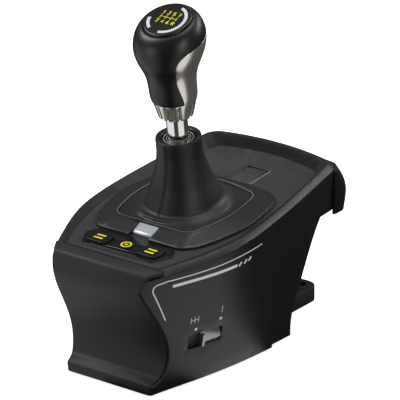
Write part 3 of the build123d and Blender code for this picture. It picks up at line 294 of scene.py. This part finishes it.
# Finishes of the frame's slots: name, colour and roughness, then what differs from plain plastic
finishes = {
    "housing_black": finish("Housing black", (0.006, 0.006, 0.0062), 0.42, wearingAndHighlight=0.04,
                            relief={"Scale": 2600, "Strength": 0.1}),
    "front_satin": finish("Front satin", (0.009, 0.0102, 0.0118), 0.58, specular=0.4, wearingAndHighlight=0.02,
                          relief={"Scale": 2600, "Strength": 0.08}),
    "deck_textured": finish("Rim and deck", (0.009, 0.0092, 0.0098), 0.47, specular=0.42,
                            wallRoughness=0.85, dusty=0.01, surface="dots",
                            relief={"Pitch": 2.1 * mm, "Strength": 0.5},
                            reliefColour=(0.06, 0.061, 0.064)),
    "bezel_satin": finish("Bezel satin", (0.0105, 0.0125, 0.0145), 0.38, wearingAndHighlight=0.12,
                          relief={"Scale": 2600, "Strength": 0.08}),
    "gloss_black": finish("Gloss black", (0.005, 0.005, 0.0055), 0.34, specular=0.4, wearingAndHighlight=0.04,
                          relief={"Scale": 300, "Strength": 0.01}),
    "boot_leather": finish("Boot leather", (0.0065, 0.0068, 0.0075), 0.48, specular=0.42, sheen=0.03,
                           surface="leather", relief={"Scale": 1400, "Strength": 0.12}),
    "silver_plastic": finish("Silver plastic", (0.5, 0.52, 0.55), 0.36, metallic=0.3, wearingAndHighlight=0.1,
                             wornAndLitColour=(0.8, 0.8, 0.8), relief={"Scale": 1800, "Strength": 0.05}),
    "white_print": finish("Light print", (0.62, 0.63, 0.66), 0.5,
                          relief={"Scale": 1500, "Strength": 0.05}),
    "chrome": finish("Chrome", (0.86, 0.84, 0.8), 0.09, metallic=1.0,
                     relief={"Scale": 400, "Strength": 0.01}),
    "brushed_ring": finish("Brushed ring", (0.82, 0.81, 0.76), 0.2, metallic=0.9, wearingAndHighlight=0.3,
                           wornAndLitColour=(0.75, 0.74, 0.7), relief={"Scale": 1200, "Strength": 0.06}),
    "trim_champagne": finish("Champagne trim", (0.8, 0.77, 0.69), 0.24, metallic=0.9,
                             relief={"Scale": 1500, "Strength": 0.03}),
    "grip_black": finish("Grip", (0.006, 0.0061, 0.0065), 0.38, specular=0.42, surface="leather",
                         relief={"Scale": 1800, "Strength": 0.04}),
    "steel": finish("Steel", (0.45, 0.45, 0.45), 0.35, metallic=1.0,
                    relief={"Scale": 900, "Strength": 0.1}),
    "inner_plastic": finish("Inner plastic", (0.02, 0.02, 0.021), 0.6,
                            relief={"Scale": 1500, "Strength": 0.2}),
    "aluminium": finish("Aluminium", (0.5, 0.5, 0.51), 0.38, metallic=1.0,
                        relief={"Scale": 800, "Strength": 0.08}),
    "brass": finish("Brass", (0.55, 0.4, 0.16), 0.3, metallic=1.0,
                    relief={"Scale": 800, "Strength": 0.06}),
    "board_green": finish("Board lacquer", (0.02, 0.09, 0.04), 0.35,
                          relief={"Scale": 600, "Strength": 0.1}),
    "rubber_black": finish("Rubber", (0.01, 0.01, 0.01), 0.75, dusty=0.05,
                           relief={"Scale": 1200, "Strength": 0.3}),
    "magnet": finish("Magnet plating", (0.5, 0.5, 0.5), 0.2, metallic=1.0,
                     relief={"Scale": 800, "Strength": 0.05}),
}

# Finishes of single pieces
# Yellow print colour with a faint emission, a painted glow on the prints
yellowFinish = finish("Yellow print, painted glow", (0.78, 0.72, 0.02), 0.45, emission=0.1,
                      relief={"Scale": 1500, "Strength": 0.05})
# Pale print colour with an emission, a painted glow that makes the side prints brighter
lineFinish = finish("Pale print, painted glow", (0.7, 0.7, 0.7), 0.5, emission=0.22,
                    relief={"Scale": 1500, "Strength": 0.05})
sliderFinish = finish("Slider metal", (0.34, 0.35, 0.36), 0.26, metallic=0.85,
                      relief={"Scale": 1500, "Strength": 0.03})
insertFinish = finish("Collar insert", (0.006, 0.006, 0.006), 0.5, specular=0.25,
                      relief={"Scale": 900, "Strength": 0.03})
plateFinish = finish("Clamp plate", (0.02, 0.0205, 0.021), 0.5, wearingAndHighlight=0.04,
                     relief={"Scale": 2600, "Strength": 0.1})
# Painted highlight: thin light lines where light catches the rings in the collar's mouth and the rear
# lid's right edge
highlightLineFinish = finish("Painted highlight line", (0.42, 0.42, 0.42), 0.4, metallic=0.35,
                    relief={"Scale": 900, "Strength": 0.03})
# Painted highlight: a light line on the bezel's crest, where light catches its rounded edge
crestHighlightFinish = finish("Bezel crest painted highlight", (0.15, 0.155, 0.16), 0.35, relief={"Scale": 1500, "Strength": 0.05})
# Painted shade: a near-black line where the gap at the boot's foot and the groove beyond the crest fall
# into shade
paintedShadeFinish = finish("Painted shade line", (0.002, 0.002, 0.002), 0.7, relief={"Scale": 1500, "Strength": 0.1})
print("stage: finishes")

# CAD nodes: finish by name or by slot, seams welded and edges softened, sizes in millimetres
softEdges = {"weld": 0.01, "segments": 2, "angle": 35, "plainWidth": 0.25}
edgeWidths = {"front_panel": 0.8, "left_side_panel": 0.8, "right_side_panel": 0.8, "rear_skirt": 0.8,
              "clamp_plate": 0.6, "top_cover": 0.5, "knob_grip": 0.4, "knob_trim": 0.3,
              "knob_neck": 0.3, "button_panel": 0.3, "left_button": 0.3, "right_button": 0.3}
ownFinishes = {"mode_slider": sliderFinish, "collar_insert": insertFinish, "clamp_plate": plateFinish,
               "rear_hatch": finishes["deck_textured"]}
slotOf = {entry["node"]: entry["material_slot"] for entry in frame["record"]["subparts"]}
for name, node in nodes.items():
    node.data.materials.clear()
    node.data.materials.append(ownFinishes.get(name, finishes[slotOf[name]]))
    weld = node.modifiers.new("Weld", "WELD")
    weld.merge_threshold = softEdges["weld"] * mm
    edges = node.modifiers.new("Edges", "BEVEL")
    edges.width = edgeWidths.get(name, softEdges["plainWidth"]) * mm
    edges.segments = softEdges["segments"]
    edges.limit_method = "ANGLE"
    edges.angle_limit = math.radians(softEdges["angle"])
    edges.harden_normals = True
    for face in node.data.polygons:
        face.use_smooth = True
print("stage: frame finishes")


# Pieces in mesh code, sizes in millimetres
def addPiece(name, points, faces, material, body, smooth=True):
    mesh = bpy.data.meshes.new(name)
    mesh.from_pydata([tuple(point) for point in points], [], faces)
    mesh.materials.append(material)
    for face in mesh.polygons:
        face.use_smooth = smooth
    mesh.update()
    piece = bpy.data.objects.new(name, mesh)
    bpy.context.scene.collection.objects.link(piece)
    if body:
        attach(piece, body)
    return piece


# Left and right edge points of a flat line of this width
def ribbon(points, width):
    sides = []
    for index, (x, y) in enumerate(points):
        before = points[max(index - 1, 0)]
        after = points[min(index + 1, len(points) - 1)]
        way = Vector((after[0] - before[0], after[1] - before[1])).normalized()
        across = Vector((-way.y, way.x)) * width / 2
        sides.append(((x + across.x, y + across.y), (x - across.x, y - across.y)))
    return sides


# Thin raised lines between two heights, laid by a function of x, y and height.
# Each point of a line gets four corners.
def addLines(name, lines, width, placed, heights, material, body):
    low, high = heights
    points, faces = [], []
    for line in lines:
        first = len(points)
        for left, right in ribbon(line, width):
            points += [placed(*left, low), placed(*left, high),
                       placed(*right, high), placed(*right, low)]
        last = len(points) - 4
        for a in range(first, last, 4):
            b = a + 4
            faces += [(a, b, b + 1, a + 1), (a + 1, b + 1, b + 2, a + 2), (a + 2, b + 2, b + 3, a + 3)]
        faces += [(first, first + 1, first + 2, first + 3), (last + 3, last + 2, last + 1, last)]
    return addPiece(name, points, faces, material, body, smooth=False)


# Points of a circle or of an arc of it, turns in degrees
def arcPoints(radius, steps, start=0, end=360, middleY=0):
    turns = [math.radians(start + (end - start) * step / steps) for step in range(steps + 1)]
    return [(radius * math.cos(turn), middleY + radius * math.sin(turn)) for turn in turns]


def surfaceOf(node):
    return BVHTree.FromPolygons([node.matrix_world @ vertex.co for vertex in node.data.vertices],
                                [tuple(face.vertices) for face in node.data.polygons])


# Boot: one smooth skin from the bezel to the collar, in two pieces.
# A row of skirt: share of the way from foot to wall, way out and height, and then how far
# the left side draws in and drops. A row of cone: height along the lever, radius across, radius along.
boot = {"turns": 180, "steps": 10, "middleY": -10, "footRadii": (31.5, 34.5), "leftPower": 1.5,
        "wallHeight": 5.7, "wallGap": 0.25, "rayDrop": 0.6, "thickness": 1.1,
        "skirt": [(1, 0, 5.7, 0, 0), (1, -1.8, 5.5, 3, 0.9), (0.45, 0, 6.3, 0, 1.5), (0, 2.2, 7.7, 0, 1)],
        "cone": [(38.5, 29.2, 31.2), (44, 26.9, 28), (49.7, 24.6, 24.8), (55, 22.4, 22.4),
                 (60.7, 20.6, 20.6), (67, 18.8, 18.8), (74.7, 17.4, 17.4), (80, 17.05, 17.05),
                 (85.5, 17, 17), (87.7, 17, 17), (88.9, 16.3, 16.3), (89.2, 15, 15), (88.9, 14.2, 14.2)],
        "junctionRing": 2, "bendFrom": 33, "bendTo": 83}
frontSeam = {"turn": -math.pi / 2, "closeStep": 0.006, "closeSteps": 18, "firstSpan": 2, "rowsLeft": 2,
             "groove": 0.9, "depth": 0.35, "width": 2.1, "rise": 0.35, "start": 0.25}
bezelSurface = surfaceOf(nodes["bezel"])


# From the middle of the boot to the inner wall of the bezel, in millimetres
def wallDistance(turn):
    start = onDeck(0, boot["middleY"], boot["wallHeight"] - boot["rayDrop"])
    way = (deckFrame.to_3x3() @ Vector((math.cos(turn), math.sin(turn), 0))).normalized()
    place, normal, index, distance = bezelSurface.ray_cast(start, way)
    return distance / mm - boot["wallGap"]


# A smooth curve through the controls, this many steps for each span
def smoothWay(controls, steps):
    path = []
    for index in range(len(controls) - 1):
        before, start = controls[max(index - 1, 0)], controls[index]
        end, after = controls[index + 1], controls[min(index + 2, len(controls) - 1)]
        for step in range(steps):
            t = step / steps
            path.append(0.5 * (2 * start + (end - before) * t
                               + (2 * before - 5 * start + 4 * end - after) * t * t
                               + (3 * start - before - 3 * end + after) * t ** 3))
    path.append(controls[-1].copy())
    return path


# The profile of the boot at one turn about its middle, from the bezel up to the collar
def bootColumn(turn):
    cosine, sine = math.cos(turn), math.sin(turn)
    wall = wallDistance(turn)
    radiusX, radiusY = boot["footRadii"]
    foot = 1 / math.sqrt((cosine / radiusX) ** 2 + (sine / radiusY) ** 2)
    left = max(0, -cosine) ** boot["leftPower"]
    controls = []
    for share, out, height, leftIn, leftDown in boot["skirt"]:
        reach = foot + (wall - foot) * share + out - leftIn * left
        controls.append(onDeck(reach * cosine, boot["middleY"] + reach * sine, height - leftDown * left))
    for height, radiusX, radiusY in boot["cone"]:
        controls.append(onLever(radiusX * cosine, radiusY * sine, height))
    return controls


# Turns around the boot, close together beside the seam at the front
def bootTurns():
    front, steps = frontSeam["turn"], frontSeam["closeSteps"]
    reach = frontSeam["closeStep"] * steps
    close = [front + step * frontSeam["closeStep"] for step in range(-steps, steps + 1)]
    wide = [front + reach + (2 * math.pi - 2 * reach) * step / boot["turns"]
            for step in range(1, boot["turns"])]
    return close + wide


# Height of the sewn seam at this distance from its middle: a groove between two low folds
def seamHeight(distance):
    half = frontSeam["groove"] / 2
    if distance < half:
        return -frontSeam["depth"]
    if distance < frontSeam["width"]:
        share = (distance - half) / (frontSeam["width"] - half)
        return frontSeam["rise"] * math.sin(math.pi * min(share + frontSeam["start"], 1))
    return 0


def bootSkin():
    turns = bootTurns()
    columns = [smoothWay(bootColumn(turn), boot["steps"]) for turn in turns]
    axis = leverFrame.to_3x3() @ Vector((0, 0, 1))
    for turn, column in zip(turns, columns):
        for point in column[frontSeam["firstSpan"] * boot["steps"]:-frontSeam["rowsLeft"]]:
            fromAxis = point - leverFrame.translation
            outward = fromAxis - axis * fromAxis.dot(axis)
            distance = abs(turn - frontSeam["turn"]) * outward.length / mm
            point += outward.normalized() * seamHeight(distance) * mm
    return columns


def addBootPiece(name, columns, replaced):
    height = len(columns[0])
    points = [point for column in columns for point in column]
    faces = []
    for column in range(len(columns)):
        here, after = column * height, (column + 1) % len(columns) * height
        faces += [(here + row, after + row, after + row + 1, here + row + 1) for row in range(height - 1)]
    piece = addPiece(name, points, faces, finishes["boot_leather"], None)
    skin = bmesh.new()
    skin.from_mesh(piece.data)
    bmesh.ops.recalc_face_normals(skin, faces=skin.faces)
    skin.to_mesh(piece.data)
    skin.free()
    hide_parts(replaced)
    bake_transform(piece)
    thick = piece.modifiers.new("Leather", "SOLIDIFY")
    thick.thickness = boot["thickness"] * mm
    thick.offset = -1
    thick.use_rim = False  # a rim would show as a line where the two pieces meet


bootColumns = bootSkin()
junctionRow = (len(boot["skirt"]) + boot["junctionRing"]) * boot["steps"]
addBootPiece("bootLower", [column[:junctionRow + 1] for column in bootColumns],
             "boot_lower")
addBootPiece("bootUpper", [column[junctionRow:] for column in bootColumns],
             "boot_upper")

# Two painted shade lines around the foot of the boot, and a painted highlight line between them on the
# bezel's crest
bezelLines = {"steps": 240, "sink": 0.2, "lift": 0.06}
bezelShadeAndHighlightLines = {"footSeam": {"out": -0.1, "height": 5.75, "width": 0.8, "finish": paintedShadeFinish},
              "crestBead": {"out": 0.95, "height": 6.4, "width": 0.7, "finish": crestHighlightFinish},
              "crestSeam": {"out": 1.75, "height": 6.2, "width": 0.7, "finish": paintedShadeFinish}}
for name, paintedLine in bezelShadeAndHighlightLines.items():
    loop = []
    for step in range(bezelLines["steps"] + 1):
        turn = 2 * math.pi * step / bezelLines["steps"]
        reach = wallDistance(turn) + paintedLine["out"]
        loop.append((reach * math.cos(turn), boot["middleY"] + reach * math.sin(turn)))
    heights = (paintedLine["height"] - bezelLines["sink"], paintedLine["height"] + bezelLines["lift"])
    addLines(name, [loop], paintedLine["width"], onDeck, heights, paintedLine["finish"], "housing")

# Painted highlight rings around the foot of the sleeve, in the mouth of the collar
collarHighlightRings = {"steps": 72, "heights": (87.2, 87.6), "outerRadius": 11, "outerWidth": 0.8,
               "innerRadius": 8.9, "innerWidth": 0.4}
for name, radius, width in (("collarRingOuter", collarHighlightRings["outerRadius"], collarHighlightRings["outerWidth"]),
                            ("collarRingInner", collarHighlightRings["innerRadius"], collarHighlightRings["innerWidth"])):
    addLines(name, [arcPoints(radius, collarHighlightRings["steps"])], width, onLever, collarHighlightRings["heights"],
             highlightLineFinish, "lever_body")
print("stage: boot")

# Button prints: two plain bars on each button, the upper one a little shorter
buttonPrints = {"x": 23.2, "y": -82, "heights": (2.57, 2.68), "bar": 1.7, "gap": 4.3,
                "upperLength": 7.6, "lowerLength": 8}
for name, body, side in (("leftButtonPrint", "left_button_body", -1),
                         ("rightButtonPrint", "right_button_body", 1)):
    bars = []
    for length, up in ((buttonPrints["upperLength"], 1), (buttonPrints["lowerLength"], -1)):
        x, y = side * buttonPrints["x"], buttonPrints["y"] + up * buttonPrints["gap"] / 2
        bars.append([(x - length / 2, y), (x + length / 2, y)])
    addLines(name, bars, buttonPrints["bar"], onDeck, buttonPrints["heights"],
             yellowFinish, body)

# Lamp between the buttons: a plain ring and a dot
lampPrint = {"y": -81, "heights": (1.57, 1.67), "radius": 3.6, "steps": 36, "ring": 1.3, "dot": 2}
lampRing = arcPoints(lampPrint["radius"], lampPrint["steps"], middleY=lampPrint["y"])
lampDot = [(-lampPrint["dot"] / 2, lampPrint["y"]), (lampPrint["dot"] / 2, lampPrint["y"])]
for name, line, width in (("lampRing", lampRing, lampPrint["ring"]),
                          ("lampDot", lampDot, lampPrint["dot"])):
    addLines(name, [line], width, onDeck, lampPrint["heights"], yellowFinish, "housing")

# Shift pattern on the cap: gate lines and gear numbers, these drawn with strokes in a unit square
strokes = {"1": [[(0.2, 0.8), (0.5, 1), (0.5, 0)]],
           "2": [[(0, 0.85), (0.25, 1), (0.6, 1), (0.8, 0.75), (0.75, 0.5), (0, 0), (0.8, 0)]],
           "3": [[(0, 1), (0.8, 1), (0.4, 0.6), (0.8, 0.35), (0.6, 0), (0.2, 0), (0, 0.15)]],
           "4": [[(0.6, 0), (0.6, 1), (0, 0.3), (0.8, 0.3)]],
           "5": [[(0.75, 1), (0.1, 1), (0, 0.55), (0.5, 0.6), (0.8, 0.35), (0.6, 0), (0, 0.05)]],
           "6": [[(0.7, 1), (0.3, 0.9), (0, 0.4), (0.2, 0), (0.6, 0), (0.8, 0.3), (0.5, 0.55),
                  (0.05, 0.4)]],
           "7": [[(0, 1), (0.8, 1), (0.3, 0)]],
           "R": [[(0, 0), (0, 1), (0.6, 1), (0.8, 0.75), (0.6, 0.5), (0, 0.5)], [(0.4, 0.5), (0.8, 0)]]}
gate = {"y": 1.8, "heights": (1.57, 1.67), "columns": (-6.9, -2.3, 2.3, 6.9), "half": 2.3, "line": 0.4,
        "upper": "1357", "lower": "246R", "digitLine": 0.65, "digitHeight": 3, "digitWidth": 2.3,
        "digitGap": 1, "digitMiddle": 0.42}


def onGate(x, y, z):
    return onCap(x, y + gate["y"], z)


gateLines = [[(gate["columns"][0], 0), (gate["columns"][-1], 0)]]
gateLines += [[(x, -gate["half"]), (x, gate["half"])] for x in gate["columns"]]
upperFoot = gate["half"] + gate["digitGap"]
lowerFoot = -upperFoot - gate["digitHeight"]
digitLines = []
for digits, foot in ((gate["upper"], upperFoot), (gate["lower"], lowerFoot)):
    for middle, digit in zip(gate["columns"], digits):
        left = middle - gate["digitWidth"] * gate["digitMiddle"]
        for stroke in strokes[digit]:
            digitLines.append([(left + gate["digitWidth"] * u, foot + gate["digitHeight"] * v)
                               for u, v in stroke])
for name, lines, width in (("gatePrint", gateLines, gate["line"]),
                           ("gearNumbers", digitLines, gate["digitLine"])):
    addLines(name, lines, width, onGate, gate["heights"], yellowFinish, "lever_body")

# Two light arcs around the shift pattern, spans and steps in degrees
capArcs = {"radius": 14.18, "width": 2.4, "heights": (1.57, 1.87), "spans": ((-84, 74), (188, 238)),
           "step": 2}
arcLines = [arcPoints(capArcs["radius"], (end - start) // capArcs["step"], start, end)
            for start, end in capArcs["spans"]]
arcPiece = addLines("capArcs", arcLines, capArcs["width"], onCap, capArcs["heights"],
                    finishes["white_print"], "lever_body")
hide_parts("knob_arcs")
print("stage: prints on buttons and cap")

# Prints on the right side panel, given as (y, z) and laid on its surface
sidePrints = {
    "sideLine": {"width": 0.85, "lines": [
        [(-96, 60.9), (-107.2, 84.8), (-107.9, 87.2), (-107.2, 89.6), (-105.4, 91.1), (-97.9, 92.6),
         (-78, 93.3), (-58.3, 94.7), (-38.8, 96.3), (-10.6, 98)]]},
    "sideBar": {"width": 2.4, "lines": [[(-93.1, 87.7), (-38.1, 89.6)]]},
    "sideSlashes": {"width": 1.8, "lines": [
        [(-36.1, 88.3), (-33.7, 91.1)], [(-30.5, 88.7), (-28.1, 91.5)], [(-25.6, 89.3), (-23.2, 92.1)]]},
    "sideDots": {"width": 2, "lines": [
        [(-69.3, 46.1), (-67.1, 46.1)], [(-47.1, 48.6), (-44.9, 48.6)]]},
    "sideIcon": {"width": 0.4, "lines": [
        [(-73.6, 51.8), (-73.6, 56.8)], [(-70.4, 51.8), (-70.4, 56.8)], [(-67.2, 51.8), (-67.2, 56.8)],
        [(-73.6, 54.3), (-67.2, 54.3)], [(-46, 53.5), (-46, 59)]]}}
sideLaying = {"fromX": 200, "step": 2.5, "heights": (0.02, 0.09)}
sideSurface = surfaceOf(nodes["right_side_panel"])


def onSide(y, z, height):
    start = Vector((sideLaying["fromX"] * mm, y * mm, z * mm))
    place, normal, index, distance = sideSurface.ray_cast(start, Vector((-1, 0, 0)))
    return place + normal * height * mm


# The same line with more points, so that it follows the curved panel
def divided(line):
    path = []
    for start, end in zip(line, line[1:]):
        count = max(int(math.dist(start, end) / sideLaying["step"]), 1)
        path += [(start[0] + (end[0] - start[0]) * part / count,
                  start[1] + (end[1] - start[1]) * part / count) for part in range(count)]
    return path + [line[-1]]


for name, drawn in sidePrints.items():
    addLines(name, [divided(line) for line in drawn["lines"]], drawn["width"], onSide,
             sideLaying["heights"], lineFinish, "housing")

# Painted highlight line along the right side of the rear lid
hatchHighlight = {"x": 15.3, "fromY": 49, "toY": 74, "steps": 10, "width": 0.5, "heights": (0.02, 0.12)}
hatchStep = (hatchHighlight["toY"] - hatchHighlight["fromY"]) / hatchHighlight["steps"]
hatchLine = [(hatchHighlight["x"], hatchHighlight["fromY"] + step * hatchStep)
             for step in range(hatchHighlight["steps"] + 1)]
addLines("hatchHighlight", [hatchLine], hatchHighlight["width"], onDeck, hatchHighlight["heights"],
         highlightLineFinish, "housing")
print("stage: side prints")

# Camera: aim in millimetres, angles in degrees, distance and far end in metres
view = {"aim": (-0.9, 8.6, 108.6), "azimuth": 37, "elevation": 22, "distance": 3.267, "lens": 400,
        "sensor": 36, "farEnd": 20}
aim = Vector(view["aim"]) * mm
azimuth, elevation = math.radians(view["azimuth"]), math.radians(view["elevation"])
away = Vector((math.sin(azimuth) * math.cos(elevation), -math.cos(azimuth) * math.cos(elevation),
               math.sin(elevation)))
cameraData = bpy.data.cameras.new("Camera")
cameraData.lens = view["lens"]
cameraData.sensor_width = view["sensor"]
cameraData.clip_end = view["farEnd"]
camera = bpy.data.objects.new("Camera", cameraData)
camera.location = aim + away * view["distance"]
camera.rotation_euler = (-away).to_track_quat("-Z", "Y").to_euler()
bpy.context.scene.collection.objects.link(camera)
bpy.context.scene.camera = camera

# Lamps, in metres and watts, all turned to the aim of the camera
lamps = {"Key": {"place": (-1.3, -0.5, 1.5), "size": (0.7, 0.9), "power": 24, "colour": (1, 1, 1)},
         "Top": {"place": (0.1, 0.3, 1.9), "size": (0.9, 0.9), "power": 14, "colour": (1, 1, 1)},
         "Side": {"place": (1.75, -0.8, 0.85), "size": (0.35, 1), "power": 10, "colour": (1, 0.98, 0.94)},
         "Back": {"place": (0.75, 1.5, 1.1), "size": (1.3, 0.4), "power": 14, "colour": (1, 1, 1)},
         "Front": {"place": (-0.9, -1.7, 0.35), "size": (0.7, 0.5), "power": 4.5,
                   "colour": (0.92, 0.96, 1)}}
for name, settings in lamps.items():
    lampData = bpy.data.lights.new(name, "AREA")
    lampData.shape = "RECTANGLE"
    lampData.size, lampData.size_y = settings["size"]
    lampData.energy = settings["power"]
    lampData.color = settings["colour"]
    lamp = bpy.data.objects.new(name, lampData)
    lamp.location = settings["place"]
    lamp.rotation_euler = (Vector(settings["place"]) - aim).to_track_quat("Z", "Y").to_euler()
    bpy.context.scene.collection.objects.link(lamp)
print("stage: camera and lamps")

# World: white for the camera, dim for all other rays
surroundings = {"colour": (0.8, 0.82, 0.85, 1), "strength": 0.14, "shownColour": (1, 1, 1, 1)}
world = bpy.data.worlds.new("World")
bpy.context.scene.world = world
world.use_nodes = True
tree = world.node_tree
background = tree.nodes["Background"]
background.inputs["Color"].default_value = surroundings["colour"]
background.inputs["Strength"].default_value = surroundings["strength"]
shown = addNode(tree, "Background", {"Color": surroundings["shownColour"]})
rays = addNode(tree, "LightPath").outputs
seen = shaderMix(tree, rays["Is Camera Ray"], background.outputs[0], shown.outputs[0])
tree.links.new(seen, tree.nodes["World Output"].inputs["Surface"])

# Floor: white for the camera, dim for diffuse rays, and two soft bright cards around the object for
# glossy rays, each with its turn from the front and its half width in degrees
ground = {"corners": [(-3, -3, 0), (3, -3, 0), (3, 3, 0), (-3, 3, 0)], "drop": 0.2,
          "colour": (0.85, 0.85, 0.85, 1), "roughness": 0.9, "glow": (1, 1, 1, 1), "glowStrength": 0.8,
          "dimColour": (0.22, 0.22, 0.22, 1)}
cards = {"base": 0.05, "edge": 6, "left": {"strength": 0.8, "turn": -46, "reach": 43},
         "right": {"strength": 0.8, "turn": 72, "reach": 30}}
floorMesh = bpy.data.meshes.new("Floor")
floorMesh.from_pydata(ground["corners"], [], [(0, 1, 2, 3)])
floor = bpy.data.objects.new("Floor", floorMesh)
floor.location.z = -ground["drop"] * mm
bpy.context.scene.collection.objects.link(floor)
floorFinish = bpy.data.materials.new("Floor white")
floorFinish.use_nodes = True
tree = floorFinish.node_tree
shown = tree.nodes["Principled BSDF"]
shown.inputs["Base Color"].default_value = ground["colour"]
shown.inputs["Roughness"].default_value = ground["roughness"]
shown.inputs["Emission Color"].default_value = ground["glow"]
shown.inputs["Emission Strength"].default_value = ground["glowStrength"]
dim = addNode(tree, "BsdfDiffuse", {"Color": ground["dimColour"]})
place = partsOf(tree, addNode(tree, "NewGeometry").outputs["Position"])
flatPlace = addNode(tree, "CombineXYZ", {"X": place["X"], "Y": place["Y"]}).outputs[0]
way = addNode(tree, "VectorMath", {0: flatPlace}, operation="NORMALIZE").outputs["Vector"]
glow = cards["base"]
for card in (cards["left"], cards["right"]):
    turn = math.radians(card["turn"])
    ramp = addNode(tree, "MapRange", {
        "Value": dotProduct(tree, way, (math.sin(turn), -math.cos(turn), 0)),
        "From Min": math.cos(math.radians(card["reach"] + cards["edge"])),
        "From Max": math.cos(math.radians(card["reach"] - cards["edge"]))},
        interpolation_type="SMOOTHSTEP")
    bright = mathNode(tree, "MULTIPLY", ramp.outputs["Result"], card["strength"])
    glow = mathNode(tree, "ADD", glow, bright)
shining = addNode(tree, "Emission", {"Color": glow})
rays = addNode(tree, "LightPath").outputs
mirrored = shaderMix(tree, rays["Is Glossy Ray"], dim.outputs[0], shining.outputs[0])
seen = shaderMix(tree, rays["Is Camera Ray"], mirrored, shown.outputs[0])
tree.links.new(seen, tree.nodes["Material Output"].inputs["Surface"])
floorMesh.materials.append(floorFinish)
bpy.context.scene.view_settings.view_transform = "Standard"
print("stage: world and floor")
